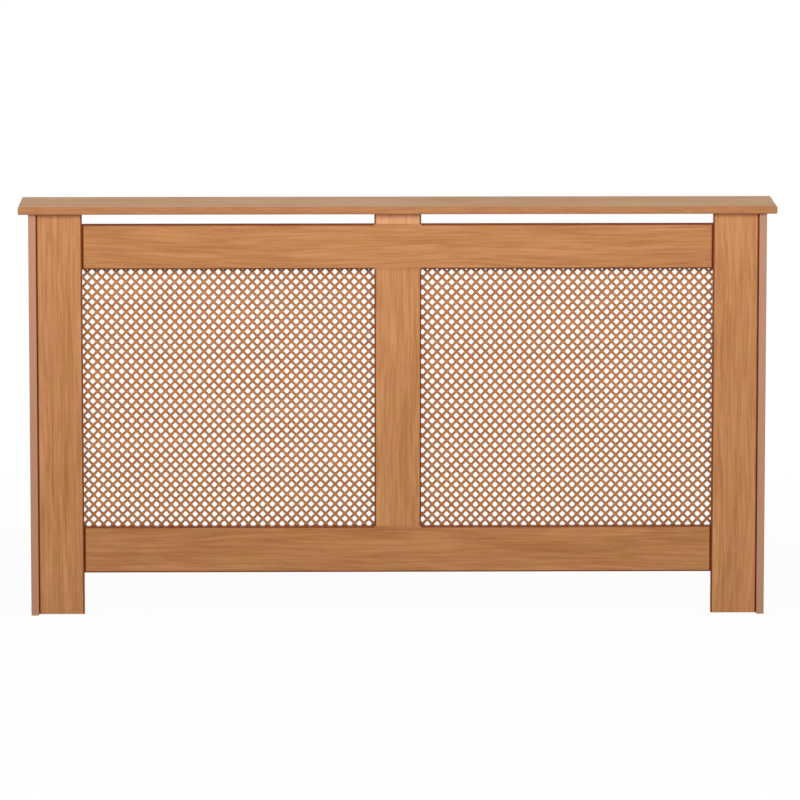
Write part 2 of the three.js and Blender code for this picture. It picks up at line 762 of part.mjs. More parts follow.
// A bent steel angle: one leg flat on the side panel, the other flat on the wall.
// Its own origin is the outside corner, where the right-hand panel and the wall meet.
function bracketGeometry() {
  const outer = bracketBendRadius;
  const inner = bracketBendRadius - bracketThickness;
  const section = new THREE.Shape();
  section.moveTo(-bracketLeg, 0);
  section.lineTo(-bracketLeg, -bracketThickness);
  section.lineTo(-outer, -bracketThickness);
  section.absarc(-outer, -outer, inner, Math.PI / 2, 0, true);
  section.lineTo(-bracketThickness, -bracketLeg);
  section.lineTo(0, -bracketLeg);
  section.lineTo(0, -outer);
  section.absarc(-outer, -outer, outer, 0, Math.PI / 2, false);
  const strip = new THREE.ExtrudeGeometry(section, {
    depth: bracketWidth,
    bevelEnabled: false,
    curveSegments: arcSteps,
  });
  let solid = solidFrom(strip.translate(0, 0, -bracketWidth / 2));
  for (const fromWall of bracketScrewFromWall) {
    const hole = screwHole().rotateZ(-Math.PI / 2).translate(-bracketThickness, -fromWall, 0);
    solid = solid.subtract(solidFrom(hole));
  }
  for (const fromPanel of bracketWallHoleFromPanel) {
    const hole = bar("y", bracketWallHoleRadius, -bracketThickness - CUT_PAST, CUT_PAST,
      [-fromPanel, 0, 0]);
    solid = solid.subtract(solidFrom(hole));
  }
  return geometryFrom(solid);
}

// The left bracket is the right one turned over.
function wallBracket(side) {
  const sign = SIDES[side];
  const screws = bracketScrewFromWall.map((fromWall, i) =>
    part(`${side}_bracket_screw_${i + 1}`, materials.steel, screwGeometry(),
      [bracketInnerX * sign, backY - fromWall, bracketZ], [0, 0, (-sign * Math.PI) / 2]));
  return [
    part(`${side}_wall_bracket`, materials.steel, bracketGeometry(),
      [bracketOuterX * sign, backY, bracketZ], [0, sign > 0 ? 0 : Math.PI, 0]),
    ...screws,
  ];
}

// ---------------------------------------------------------------- the cabinet

function group(name, meshes) {
  const made = new THREE.Group();
  made.name = name;
  made.add(...meshes);
  return made;
}

const cabinet = new THREE.Group();
cabinet.name = "radiator_cover_cabinet";
cabinet.add(
  shelf(),
  group("front_frame", [
    topRail(),
    bottomRail(),
    centreStile(),
    spacerBlock(),
    ...stileDowels().map(dowel),
  ]),
);
for (const side of Object.keys(SIDES)) {
  cabinet.add(
    group(`${side}_leg`, [sidePanel(side), frontPost(side), ...sideDowels(side).map(dowel)]),
    group(`${side}_window`, [grille(side), ...grilleClips(side)]),
    group(`${side}_fixings`, [
      ...railFixings("top", side),
      ...railFixings("bottom", side),
      ...shelfFixings(side),
      ...wallBracket(side),
    ]),
  );
}

export default cabinet;
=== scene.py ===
from math import cos, pi, radians, sin

import bmesh
import bpy
from bpy.props import FloatProperty, FloatVectorProperty, IntProperty, PointerProperty
from bpy.types import Operator, Panel, PropertyGroup
from mathutils import Matrix, Vector


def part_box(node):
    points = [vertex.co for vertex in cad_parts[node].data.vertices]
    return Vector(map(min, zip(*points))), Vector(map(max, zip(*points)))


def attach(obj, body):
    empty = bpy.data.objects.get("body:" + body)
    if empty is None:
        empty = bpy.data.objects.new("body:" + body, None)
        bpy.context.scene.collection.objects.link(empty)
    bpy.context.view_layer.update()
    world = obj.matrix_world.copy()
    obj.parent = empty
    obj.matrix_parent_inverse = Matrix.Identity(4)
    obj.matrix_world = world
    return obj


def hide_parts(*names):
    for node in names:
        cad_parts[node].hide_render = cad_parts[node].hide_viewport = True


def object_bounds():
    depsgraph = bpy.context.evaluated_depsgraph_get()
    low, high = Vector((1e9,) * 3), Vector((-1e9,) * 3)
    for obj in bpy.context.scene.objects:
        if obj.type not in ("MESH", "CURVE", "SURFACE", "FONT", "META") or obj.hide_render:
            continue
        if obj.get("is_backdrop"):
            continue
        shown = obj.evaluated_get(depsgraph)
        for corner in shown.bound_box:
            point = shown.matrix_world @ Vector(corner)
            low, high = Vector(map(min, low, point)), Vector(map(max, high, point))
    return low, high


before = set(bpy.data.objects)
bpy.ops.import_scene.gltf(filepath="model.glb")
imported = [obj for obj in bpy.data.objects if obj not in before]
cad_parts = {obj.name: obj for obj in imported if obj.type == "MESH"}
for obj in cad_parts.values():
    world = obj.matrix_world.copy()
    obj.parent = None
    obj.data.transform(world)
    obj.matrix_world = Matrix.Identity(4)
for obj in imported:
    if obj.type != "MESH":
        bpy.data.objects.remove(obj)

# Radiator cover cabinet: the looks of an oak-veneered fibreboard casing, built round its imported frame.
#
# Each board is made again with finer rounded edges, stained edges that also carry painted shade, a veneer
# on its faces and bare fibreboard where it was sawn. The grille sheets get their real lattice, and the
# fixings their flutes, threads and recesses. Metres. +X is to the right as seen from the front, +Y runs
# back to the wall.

bl_info = {
    "name": "Radiator Cover Cabinet",
    "version": (1, 0, 0),
    "blender": (4, 5, 0),
    "location": "3D View > Sidebar > Cabinet",
    "description": "Dresses the frame of a radiator cover cabinet in oak veneer, lattice and fixings",
    "category": "Object",
}

CAD_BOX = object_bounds()
BODY = "root"
SIDES = {"left": -1, "right": 1}
TOUCH = 1e-5  # closer than this is the same place
AXES = "xyz"
CORE = 1  # the material slot of bare fibreboard
FACE_ON = 0.9999  # how nearly a face's normal lies along an axis to count as flat on it
SHARP_ANGLE = radians(30)  # two faces that meet at more than this keep a crisp edge

RAIL_CAMS = [f"{rail}_rail_cam_{side}" for rail in ("top", "bottom") for side in SIDES]
SHELF_CAMS = [f"{side}_shelf_cam" for side in SIDES]
RAIL_BOLTS = [f"{rail}_rail_cam_bolt_{side}" for rail in ("top", "bottom") for side in SIDES]
SHELF_BOLTS = [f"{side}_shelf_cam_bolt" for side in SIDES]
DOWELS = sorted(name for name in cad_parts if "dowel" in name)
CLIPS = sorted(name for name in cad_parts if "_clip_" in name)
SCREWS = sorted(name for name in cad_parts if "_bracket_screw_" in name)


# Which leaf of veneer each board is cut from, as a seed for its figure.
LEAVES = {
    "top_shelf": 3, "left_side_panel": 10, "right_side_panel": 12, "left_front_post": 20,
    "right_front_post": 22, "top_rail": 31, "bottom_rail": 35, "centre_stile": 41, "spacer_block": 47,
    "left_grille": 50, "right_grille": 52,
}


def srgb(red, green, blue):
    """A colour given as 0 to 255, as the linear numbers that Blender's colours hold."""
    shares = (red / 255, green / 255, blue / 255)
    return tuple(s / 12.92 if s <= 0.04045 else ((s + 0.055) / 1.055) ** 2.4 for s in shares)


def length(name, description, default):
    return FloatProperty(name=name, description=description, default=default, min=0, unit="LENGTH")


def colour(name, description, default):
    return FloatVectorProperty(
        name=name, description=description, default=default, min=0, max=1, subtype="COLOR", size=3)


# ---------------------------------------------------------------- what a user can change


class CabinetBoards(PropertyGroup):
    """Sizes of the boards' edges and finish."""
    shelf_round: length("Shelf rounding", "Radius along the shelf's front and ends", 0.0025)
    frame_round: length("Frame rounding", "Radius along the front frame's edges", 0.0025)
    side_round: length("Side rounding", "Radius along the side panels' front edges", 0.0015)
    veneer: length("Veneer", "Thickness of the veneer, seen on sawn edges", 0.0006)
    # How far the front frame's edge colour fades onto a front face: partly a real stain, partly painted
    # shade, widened to the width of the shadow lines along the frame.
    stain_and_shade_reach: length("Stain reach", "How far the edge stain fades onto a front face", 0.0012)
    bore_slack: length("Bore slack", "Clearance round a dowel, bolt or cam", 0.0003)
    round_steps: IntProperty(name="Round steps", description="Faces across a rounding", default=6)
    bore_sides: IntProperty(name="Bore sides", description="Faces round a bore", default=40)


class CabinetColours(PropertyGroup):
    """Colours of the finishes."""
    upright_pale: colour("Upright oak, pale", "Palest grain of posts and stile", srgb(213, 153, 103))
    upright_deep: colour("Upright oak, deep", "Deepest grain of posts and stile", srgb(175, 115, 65))
    rail_pale: colour("Rail oak, pale", "Palest grain of the rails", srgb(204, 145, 94))
    rail_deep: colour("Rail oak, deep", "Deepest grain of the rails", srgb(169, 109, 61))
    block_pale: colour("Block oak, pale", "Palest grain of the spacer block", srgb(229, 170, 125))
    block_deep: colour("Block oak, deep", "Deepest grain of the spacer block", srgb(201, 141, 98))
    shelf_pale: colour("Shelf oak, pale", "Palest grain of the shelf", srgb(220, 162, 96))
    shelf_deep: colour("Shelf oak, deep", "Deepest grain of the shelf", srgb(194, 135, 72))
    pore: colour("Pores", "Pores and fine dark lines", srgb(120, 64, 34))
    # The front frame's dark edge colour: a brown stain on the edges that also stands in as painted shade
    # in the gaps and on the roundings beside the openings and side panels.
    stain_and_shade: colour("Edge stain", "Stain on the front frame's edges", srgb(124, 58, 18))
    shelf_band: colour("Shelf edging", "Edge strip round the shelf", srgb(171, 113, 74))
    side_band: colour("Side edging", "Edge strip down the side panels", srgb(190, 141, 116))
    lattice_pale: colour("Lattice, pale", "Palest tone of the pierced sheets", srgb(219, 141, 73))
    lattice_deep: colour("Lattice, deep", "Deepest tone of the pierced sheets", srgb(191, 112, 50))
    cut_edge: colour("Cut edge", "Walls of the pierced holes", srgb(104, 84, 68))
    fibre: colour("Fibreboard", "Sawn fibreboard", srgb(146, 112, 80))
    beech: colour("Beech", "Dowels", srgb(214, 178, 132))
    zinc: colour("Zinc", "Cast cam locks", srgb(150, 152, 152))
    steel: colour("Steel", "Brackets and bolts", srgb(196, 198, 200))
    passivate: colour("Passivated steel", "Bracket screws", srgb(206, 188, 132))
    nylon: colour("Nylon", "Grille clips", srgb(112, 72, 44))


class CabinetGrille(PropertyGroup):
    """Sizes of the pierced lattice."""
    pitch_x: length("Pitch across", "Between holes in a row", 0.0195)
    pitch_z: length("Pitch down", "Between rows of the same phase", 0.0201)
    hole: length("Hole", "Hole from corner to corner", 0.0128)
    corner: length("Hole corner", "Rounding of a hole's corners", 0.0012)
    softening: length("Softening", "Width of the chamfer round each hole", 0.0009)
    left_shift: FloatVectorProperty(
        name="Left shift", description="Offset of the left sheet's pattern from its middle",
        default=(-0.0009, 0.003, 0), subtype="XYZ", unit="LENGTH")
    right_shift: FloatVectorProperty(
        name="Right shift", description="Offset of the right sheet's pattern from its middle",
        default=(0.0027, 0.0016, 0), subtype="XYZ", unit="LENGTH")
    border: length("Border", "Least plain band round the lattice's cells", 0.0005)


class CabinetFixings(PropertyGroup):
    """Sizes of the fixings that the frame's boxes don't give."""
    clip_thickness: length("Clip thickness", "Wall of a grille clip", 0.0024)
    clip_round: length("Clip rounding", "Rounding of a clip's edges", 0.0005)
    bracket_thickness: length("Bracket thickness", "Steel of a wall bracket", 0.002)
    bracket_bend: length("Bracket bend", "Outer radius of the bend", 0.003)
    bracket_corner: length("Bracket corner", "Radius of a leg's corners", 0.004)
    bracket_hole: length("Wall hole", "Radius of a wall screw's hole", 0.0023)
    wall_hole_near: length("Near wall hole", "From the side panel to the near wall hole", 0.016)
    wall_hole_far: length("Far wall hole", "From the side panel to the far wall hole", 0.030)
    screw_head_height: length("Screw head", "Height of the countersunk head", 0.0019)
    screw_shank: length("Screw shank", "Radius of a bracket screw's shank", 0.0019)
    screw_tip: length("Screw tip", "Length of the point", 0.003)
    bolt_shank: length("Bolt shank", "Radius of a cam bolt's shank", 0.0025)
    bolt_neck: length("Bolt neck", "Radius of a cam bolt's neck", 0.0018)
    bolt_thread: length("Bolt thread", "Threaded length of a cam bolt", 0.011)
    thread_pitch: length("Thread pitch", "From one thread ridge to the next", 0.0011)
    dowel_chamfer: length("Dowel chamfer", "Chamfer at a dowel's ends", 0.0008)


class CabinetStage(PropertyGroup):
    """Camera, lamps and floor."""
    camera_place: FloatVectorProperty(
        name="Camera", description="Where the camera stands", subtype="XYZ", unit="LENGTH",
        default=(-0.1649, -12.0, 2.1716))
    camera_turn: FloatProperty(
        name="Turn", description="Turn of the view to the right", default=radians(0.8135),
        subtype="ANGLE")
    camera_dip: FloatProperty(
        name="Dip", description="Tilt of the view below level", default=radians(8.2747), subtype="ANGLE")
    camera_lens: FloatProperty(
        name="Lens", description="Focal length in millimetres on a 36 mm sensor", default=269.49)
    sky: FloatProperty(name="Sky", description="Strength of the even light all round", default=0.28)
    key: FloatProperty(
        name="Key lamp", description="Power of the long soft lamp in front", default=32, subtype="POWER")
    fill: FloatProperty(
        name="Back lamp", description="Power of the low soft lamp behind", default=20, subtype="POWER")
    floor_white: FloatProperty(
        name="Floor whiteness", description="Share of plain white in the floor beside the cabinet",
        default=0.96, min=0, max=1, subtype="FACTOR")
    white_near: length("White from", "Where the floor starts to turn plain white", 0.9)
    white_far: length("White beyond", "Where the floor is plain white", 2.4)


class CabinetSettings(PropertyGroup):
    """All the settings of the cabinet."""
    boards: PointerProperty(type=CabinetBoards)
    colours: PointerProperty(type=CabinetColours)
    grille: PointerProperty(type=CabinetGrille)
    fixings: PointerProperty(type=CabinetFixings)
    stage: PointerProperty(type=CabinetStage)


def settings():
    return bpy.context.scene.radiator_cover


# ---------------------------------------------------------------- node trees


def put(tree, kind, feeds=(), **choices):
    """Adds a node. feeds gives its inputs, by name or number, a value or another node's output."""
    node = tree.nodes.new(kind)
    for choice, value in choices.items():
        setattr(node, choice, value)
    for key, value in dict(feeds).items():
        socket = node.inputs[key]
        if isinstance(value, bpy.types.NodeSocket):
            tree.links.new(value, socket)
        else:
            socket.default_value = value
    return node


def new_tree(name, kind, inputs, outputs):
    """A node group with named inputs, as (name, type, default), and outputs, as (name, type)."""
    tree = bpy.data.node_groups.new(name, kind)
    for label, socket_kind, default in inputs:
        socket = tree.interface.new_socket(label, in_out="INPUT", socket_type=socket_kind)
        if default is not None:
            socket.default_value = default
    for label, socket_kind in outputs:
        tree.interface.new_socket(label, in_out="OUTPUT", socket_type=socket_kind)
    given = tree.nodes.new("NodeGroupInput").outputs
    return tree, given


def finish_tree(tree, results):
    put(tree, "NodeGroupOutput", results)
    arrange(tree)
    return tree


def arrange(tree):
    """Sets the nodes out in columns, each to the right of what feeds it."""
    column = {node: 0 for node in tree.nodes}
    for _ in tree.nodes:
        for link in tree.links:
            column[link.to_node] = max(column[link.to_node], column[link.from_node] + 1)
    filled = {}
    for node, place in column.items():
        row = filled.get(place, 0)
        filled[place] = row + 1
        node.location = (220 * place, -260 * row)


def maths(tree, operation, *values):
    """A Math node's result."""
    kind = "ShaderNodeMath"
    return put(tree, kind, enumerate(values), operation=operation).outputs[0]


def stretch(tree, vector, scale):
    """A vector times a vector, part by part."""
    return put(tree, "ShaderNodeVectorMath", {0: vector, 1: scale}, operation="MULTIPLY").outputs[0]


def noise(tree, vector, seed, detail=2.0, roughness=0.5):
    """Four-dimensional noise, about 0.5, whose fourth place is the seed."""
    feeds = {"Vector": vector, "W": seed, "Scale": 1.0, "Detail": detail, "Roughness": roughness}
    return put(tree, "ShaderNodeTexNoise", feeds, noise_dimensions="4D").outputs["Fac"]


def spread(tree, value, low, high, to_low=0.0, to_high=1.0):
    """Maps low to high onto a new range, smoothly and no further."""
    feeds = {"Value": value, 1: low, 2: high, 3: to_low, 4: to_high}
    return put(tree, "ShaderNodeMapRange", feeds, interpolation_type="SMOOTHSTEP").outputs["Result"]


def blend(tree, share, first, second, mode="MIX"):
    """Mixes two colours."""
    feeds = {0: share, 6: first, 7: second}
    return put(tree, "ShaderNodeMix", feeds, data_type="RGBA", blend_type=mode).outputs[2]


VECTOR, NUMBER, COLOUR = "NodeSocketVector", "NodeSocketFloat", "NodeSocketColor"


def oak_figure_group():
    """Oak veneer whose grain runs along Z: broad bands, ring lines, streaks, pores and pale flecks."""
    tree, given = new_tree("oak_figure", "ShaderNodeTree", [
        ("Coordinates", VECTOR, None),
        ("Leaf", NUMBER, 0.0),
        ("Pale", COLOUR, None),
        ("Deep", COLOUR, None),
        ("Pore", COLOUR, None),
        ("Band Width", NUMBER, 0.03),
        ("Streak Width", NUMBER, 0.005),
        ("Pore Width", NUMBER, 0.0006),
        ("Contrast", NUMBER, 1.15),
    ], [("Color", COLOUR), ("Height", NUMBER)])
    leaf = given["Leaf"]

    def grained(width, long, seed, detail, roughness=0.5, vector=None):
        """Noise of one width across the grain, and that many times as long along it."""
        across = maths(tree, "DIVIDE", 1.0, width)
        along = maths(tree, "DIVIDE", across, long)
        scale = put(tree, "ShaderNodeCombineXYZ", {0: across, 1: across, 2: along}).outputs[0]
        grown = maths(tree, "ADD", leaf, seed)
        return noise(tree, stretch(tree, vector or bent, scale), grown, detail, roughness)

    sway = grained(0.12, long=3.0, seed=1.7, detail=1.0, vector=given["Coordinates"])
    sideways = maths(tree, "MULTIPLY", maths(tree, "SUBTRACT", sway, 0.5), 0.03)
    shift = put(tree, "ShaderNodeCombineXYZ", {0: sideways}).outputs[0]
    bent = put(tree, "ShaderNodeVectorMath", {0: given["Coordinates"], 1: shift},
               operation="ADD").outputs[0]

    hair_width = maths(tree, "MULTIPLY", given["Streak Width"], 0.3)
    fleck_width = maths(tree, "MULTIPLY", given["Pore Width"], 2.6)
    bands = grained(given["Band Width"], long=12.0, seed=0.0, detail=2.0)
    streaks = grained(given["Streak Width"], long=26.0, seed=3.1, detail=4.0, roughness=0.6)
    hairs = grained(hair_width, long=44.0, seed=5.3, detail=3.0, roughness=0.6)
    pores = grained(given["Pore Width"], long=24.0, seed=7.9, detail=1.0)
    flecks = grained(fleck_width, long=6.0, seed=9.2, detail=1.0)
    rings = maths(tree, "SINE", maths(tree, "MULTIPLY", bands, 46.0))

    tone = maths(tree, "MULTIPLY", bands, 0.32)
    for part, share in ((streaks, 0.4), (hairs, 0.28), (rings, 0.02)):
        tone = maths(tree, "MULTIPLY_ADD", part, share, tone)
    centred = maths(tree, "MULTIPLY_ADD", maths(tree, "SUBTRACT", tone, 0.5), given["Contrast"], 0.5)
    figure = blend(tree, spread(tree, centred, 0.3, 0.7), given["Deep"], given["Pale"])
    pore = spread(tree, pores, 0.56, 0.72)
    open_pore = maths(tree, "MULTIPLY", pore, spread(tree, streaks, 0.62, 0.4, 0.25, 1.0))
    pored = blend(tree, maths(tree, "MULTIPLY", open_pore, 0.34), figure, given["Pore"])
    fleck = maths(tree, "MULTIPLY", spread(tree, flecks, 0.64, 0.78), 0.22)
    flecked = blend(tree, fleck, pored, given["Pale"])
    height = maths(tree, "SUBTRACT", maths(tree, "MULTIPLY", hairs, 0.3), open_pore)
    return finish_tree(tree, {"Color": flecked, "Height": height})


def tone_drift_group():
    """Slow drift of a colour over a surface, between rosier and more ochre."""
    tree, given = new_tree("tone_drift", "ShaderNodeTree", [
        ("Coordinates", VECTOR, None), ("Leaf", NUMBER, 0.0), ("Color", COLOUR, None),
        ("Patch Size", NUMBER, 0.014), ("Amount", NUMBER, 0.45),
    ], [("Color", COLOUR)])
    across = maths(tree, "DIVIDE", 1.0, given["Patch Size"])
    along = maths(tree, "MULTIPLY", across, 0.25)
    scale = put(tree, "ShaderNodeCombineXYZ", {0: across, 1: across, 2: along}).outputs[0]
    scaled = stretch(tree, given["Coordinates"], scale)
    patches = noise(tree, scaled, maths(tree, "ADD", given["Leaf"], 21.0), 2.0)
    rosy = blend(tree, maths(tree, "MULTIPLY", spread(tree, patches, 0.45, 0.75), given["Amount"]),
                 given["Color"], (1.0, 0.84, 0.92, 1), "MULTIPLY")
    ochre = blend(tree, maths(tree, "MULTIPLY", spread(tree, patches, 0.55, 0.25), given["Amount"]),
                  rosy, (0.96, 0.95, 0.68, 1), "MULTIPLY")
    return finish_tree(tree, {"Color": ochre})


def edge_band_group():
    """The colour of a board's edges: an edge strip, or on the front frame a stain that is also painted
    shade, with a slightly uneven border.
    """
    tree, given = new_tree("edge_band", "ShaderNodeTree", [
        ("Coordinates", VECTOR, None), ("Color", COLOUR, None), ("Edge", NUMBER, 0.0),
        ("Band", COLOUR, None), ("Least Cover", NUMBER, 0.9), ("Raggedness", NUMBER, 0.3),
    ], [("Color", COLOUR)])
    rag = noise(tree, stretch(tree, given["Coordinates"], (700.0, 700.0, 700.0)), 0.0, 2.0)
    shaken = maths(tree, "MULTIPLY_ADD", maths(tree, "SUBTRACT", rag, 0.5), given["Raggedness"],
                   given["Edge"])
    mask = spread(tree, shaken, 0.15, 0.85)
    depth = noise(tree, stretch(tree, given["Coordinates"], (260.0, 260.0, 22.0)), 4.0, 3.0)
    cover = spread(tree, depth, 0.3, 0.7, given["Least Cover"], 1.0)
    # How much of the band colour covers the edge: on the front frame, stain and painted shade; on the
    # shelf and side panels, an edge strip.
    band_and_painted_shade_share = maths(tree, "MULTIPLY", mask, cover)
    return finish_tree(tree, {"Color": blend(tree, band_and_painted_shade_share, given["Color"], given["Band"])})


def grit_group():
    """Fine speckle for fibreboard, castings, plating and mouldings."""
    tree, given = new_tree("fine_grit", "ShaderNodeTree", [
        ("Coordinates", VECTOR, None), ("Color", COLOUR, None), ("Dark", COLOUR, None),
        ("Grain Size", NUMBER, 0.0006), ("Amount", NUMBER, 0.4),
    ], [("Color", COLOUR), ("Height", NUMBER)])
    size = maths(tree, "DIVIDE", 1.0, given["Grain Size"])
    scaled = put(tree, "ShaderNodeVectorMath", {0: given["Coordinates"], "Scale": size},
                 operation="SCALE").outputs[0]
    grain = noise(tree, scaled, 0.0, 3.0, 0.65)
    cloud = noise(tree, stretch(tree, given["Coordinates"], (60.0, 60.0, 60.0)), 2.0, 2.0)
    speck = spread(tree, maths(tree, "MULTIPLY_ADD", cloud, 0.4, grain), 0.5, 0.9)
    dark = maths(tree, "MULTIPLY", speck, given["Amount"])
    return finish_tree(tree, {"Color": blend(tree, dark, given["Color"], given["Dark"]), "Height": grain})


def handling_group():
    """Roughness that varies as a handled surface's does: slow smears and fine rubbing."""
    tree, given = new_tree("handling", "ShaderNodeTree", [
        ("Coordinates", VECTOR, None), ("Least", NUMBER, 0.4), ("Most", NUMBER, 0.55),
    ], [("Roughness", NUMBER)])
    smear = noise(tree, stretch(tree, given["Coordinates"], (9.0, 9.0, 4.0)), 0.0, 4.0, 0.6)
    rub = noise(tree, stretch(tree, given["Coordinates"], (260.0, 260.0, 60.0)), 3.0, 2.0)
    mixed = maths(tree, "MULTIPLY_ADD", rub, 0.3, maths(tree, "MULTIPLY", smear, 0.7))
    span = maths(tree, "SUBTRACT", given["Most"], given["Least"])
    share = spread(tree, mixed, 0.3, 0.7)
    return finish_tree(tree, {"Roughness": maths(tree, "MULTIPLY_ADD", share, span, given["Least"])})


def group_node(tree, name, feeds):
    """A shader group in a material. It is built the first time that it is asked for."""
    makers = {"oak_figure": oak_figure_group, "tone_drift": tone_drift_group,
              "edge_band": edge_band_group, "fine_grit": grit_group, "handling": handling_group}
    group = bpy.data.node_groups.get(name) or makers[name]()
    return put(tree, "ShaderNodeGroup", feeds, node_tree=group).outputs


# ---------------------------------------------------------------- materials


def rgba(value):
    return (*value, 1.0)


def bare_tree(owner):
    """The node tree of a material or a world, with nothing in it."""
    owner.use_nodes = True
    owner.node_tree.nodes.clear()
    return owner.node_tree


def finished_material(name, build):
    """The material of that name, made the first time by build(tree, coordinates), which gives the
    shader's inputs and the height of its relief in metres."""
    made = bpy.data.materials.get(name)
    if made:
        return made
    made = bpy.data.materials.new(name)
    tree = bare_tree(made)
    coordinates = put(tree, "ShaderNodeTexCoord").outputs["Object"]
    feeds, height, depth = build(tree, coordinates)
    bump = put(tree, "ShaderNodeBump", {"Strength": 0.6, "Distance": depth, "Height": height})
    shader = put(tree, "ShaderNodeBsdfPrincipled", {**feeds, "Normal": bump.outputs["Normal"]})
    put(tree, "ShaderNodeOutputMaterial", {"Surface": shader.outputs["BSDF"]})
    arrange(tree)
    return made


def oak_material(name, pale, deep, band, cover=0.9, turned=False, streak=0.005):
    """Lacquered oak veneer, its grain upright, or along X when turned. Its edges take the band's
    colour, which covers them at least that far."""
    def build(tree, coordinates):
        if turned:
            coordinates = put(tree, "ShaderNodeMapping",
                              {"Vector": coordinates, "Rotation": (0, pi / 2, 0)}).outputs[0]
        leaf = put(tree, "ShaderNodeAttribute", attribute_name="leaf").outputs["Fac"]
        edge = put(tree, "ShaderNodeAttribute", attribute_name="edge").outputs["Fac"]
        figure = group_node(tree, "oak_figure", {
            "Coordinates": coordinates, "Leaf": leaf, "Pale": rgba(pale), "Deep": rgba(deep),
            "Pore": rgba(settings().colours.pore), "Streak Width": streak})
        drift = group_node(tree, "tone_drift", {
            "Coordinates": coordinates, "Leaf": leaf, "Color": figure["Color"]})
        banded = group_node(tree, "edge_band", {
            "Coordinates": coordinates, "Color": drift["Color"], "Edge": edge, "Band": rgba(band),
            "Least Cover": cover})
        sheen = group_node(tree, "handling", {"Coordinates": coordinates, "Least": 0.4, "Most": 0.54})
        feeds = {"Base Color": banded["Color"], "Roughness": sheen["Roughness"],
                 "Specular IOR Level": 0.22}
        return feeds, figure["Height"], 0.00012
    return finished_material(name, build)


def gritty_material(name, tone, dark, grain, amount, least, most, metallic=0.0):
    """A material of one tone with a fine speckle, for fibreboard, castings, plating and mouldings.
    dark is the speckle's share of the tone, and least and most are its roughness."""
    def build(tree, coordinates):
        grit = group_node(tree, "fine_grit", {
            "Coordinates": coordinates, "Color": rgba(tone), "Dark": rgba(darker(tone, dark)),
            "Grain Size": grain, "Amount": amount})
        sheen = group_node(tree, "handling", {"Coordinates": coordinates, "Least": least, "Most": most})
        feeds = {"Base Color": grit["Color"], "Roughness": sheen["Roughness"], "Metallic": metallic}
        return feeds, grit["Height"], grain * 0.2
    return finished_material(name, build)


def darker(tone, share):
    return tuple(part * share for part in tone)


def upright_oak():
    tones = settings().colours
    return oak_material("oak_upright", tones.upright_pale, tones.upright_deep, tones.stain_and_shade)


def rail_oak():
    tones = settings().colours
    return oak_material("oak_rail", tones.rail_pale, tones.rail_deep, tones.stain_and_shade, turned=True)


def block_oak():
    tones = settings().colours
    return oak_material("oak_block", tones.block_pale, tones.block_deep, tones.stain_and_shade)


def shelf_oak():
    tones = settings().colours
    return oak_material("oak_shelf", tones.shelf_pale, tones.shelf_deep, tones.shelf_band, cover=0.6,
                        turned=True)


def side_oak():
    tones = settings().colours
    return oak_material("oak_side", tones.upright_pale, tones.upright_deep, tones.side_band, cover=0.75)


def lattice_oak():
    tones = settings().colours
    return oak_material(
        "lattice_foil", tones.lattice_pale, tones.lattice_deep, tones.cut_edge, turned=True)


def cut_edge():
    return gritty_material("lattice_cut_edge", settings().colours.cut_edge, dark=0.5, grain=0.0004,
                           amount=0.6, least=0.7, most=0.85)


def fibreboard():
    return gritty_material("fibreboard", settings().colours.fibre, dark=0.5, grain=0.0005,
                           amount=0.7, least=0.8, most=0.95)


def beech():
    tone = settings().colours.beech
    return oak_material("beech", tone, darker(tone, 0.8), tone, turned=True, streak=0.002)


def cast_zinc():
    return gritty_material("cast_zinc", settings().colours.zinc, dark=0.55, grain=0.0004,
                           amount=0.6, least=0.38, most=0.55, metallic=1.0)


def plated_steel():
    return gritty_material("plated_steel", settings().colours.steel, dark=0.7, grain=0.0008,
                           amount=0.4, least=0.24, most=0.42, metallic=1.0)


def passivated_steel():
    return gritty_material("passivated_steel", settings().colours.passivate, dark=0.65, grain=0.0006,
                           amount=0.5, least=0.28, most=0.42, metallic=1.0)


def nylon():
    return gritty_material("brown_nylon", settings().colours.nylon, dark=0.75, grain=0.0005,
                           amount=0.35, least=0.4, most=0.52)


# ---------------------------------------------------------------- pieces in general


def piece_from(bm, name, *materials):
    """A new object at the origin, with the bmesh as its mesh."""
    mesh = bpy.data.meshes.new(name)
    bm.to_mesh(mesh)
    bm.free()
    for material in materials:
        mesh.materials.append(material)
    piece = bpy.data.objects.new(name, mesh)
    bpy.context.scene.collection.objects.link(piece)
    return piece


def settle(piece):
    """Applies the piece's modifiers, so that it keeps only a plain mesh."""
    depsgraph = bpy.context.evaluated_depsgraph_get()
    mesh = bpy.data.meshes.new_from_object(piece.evaluated_get(depsgraph))
    piece.modifiers.clear()
    piece.data = mesh
    mesh.name = piece.name
    if not mesh.polygons:
        raise RuntimeError(f"{piece.name} came out empty")
    while mesh.materials and not mesh.materials[0]:
        mesh.materials.pop(index=0)
    return mesh


def hand_over(piece, slot, *nodes):
    """The piece rides with the cabinet and stands for the nodes, which it hides. The slot is not used."""
    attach(piece, BODY)
    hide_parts(*nodes)


def direction(normal):
    """"-y" for a normal that points to the front, and so on, or None for one that slants."""
    for axis, letter in enumerate(AXES):
        if abs(normal[axis]) > FACE_ON:
            return ("-" if normal[axis] < 0 else "+") + letter
    return None


def side_of(box, name):
    """The axis and the place of one side of a box, as of "-y"."""
    axis = AXES.index(name[1])
    return axis, box[name[0] == "+"][axis]


def odd_axis(node):
    """The axis of a turned piece: the side of its box that differs from the other two."""
    low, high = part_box(node)
    size = high - low
    return max(range(3), key=lambda axis: abs(size[axis] - (sum(size) - size[axis]) / 2))


def axis_ends(node, near):
    """The two ends of a turned piece's axis, the one nearer to the point first, and its radius."""
    low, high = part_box(node)
    axis = odd_axis(node)
    middle = (low + high) / 2
    ends = [middle.copy(), middle.copy()]
    ends[0][axis], ends[1][axis] = low[axis], high[axis]
    ends.sort(key=lambda end: (end - near).length)
    return ends[0], ends[1], (high - low)[(axis + 1) % 3] / 2


# ---------------------------------------------------------------- boards


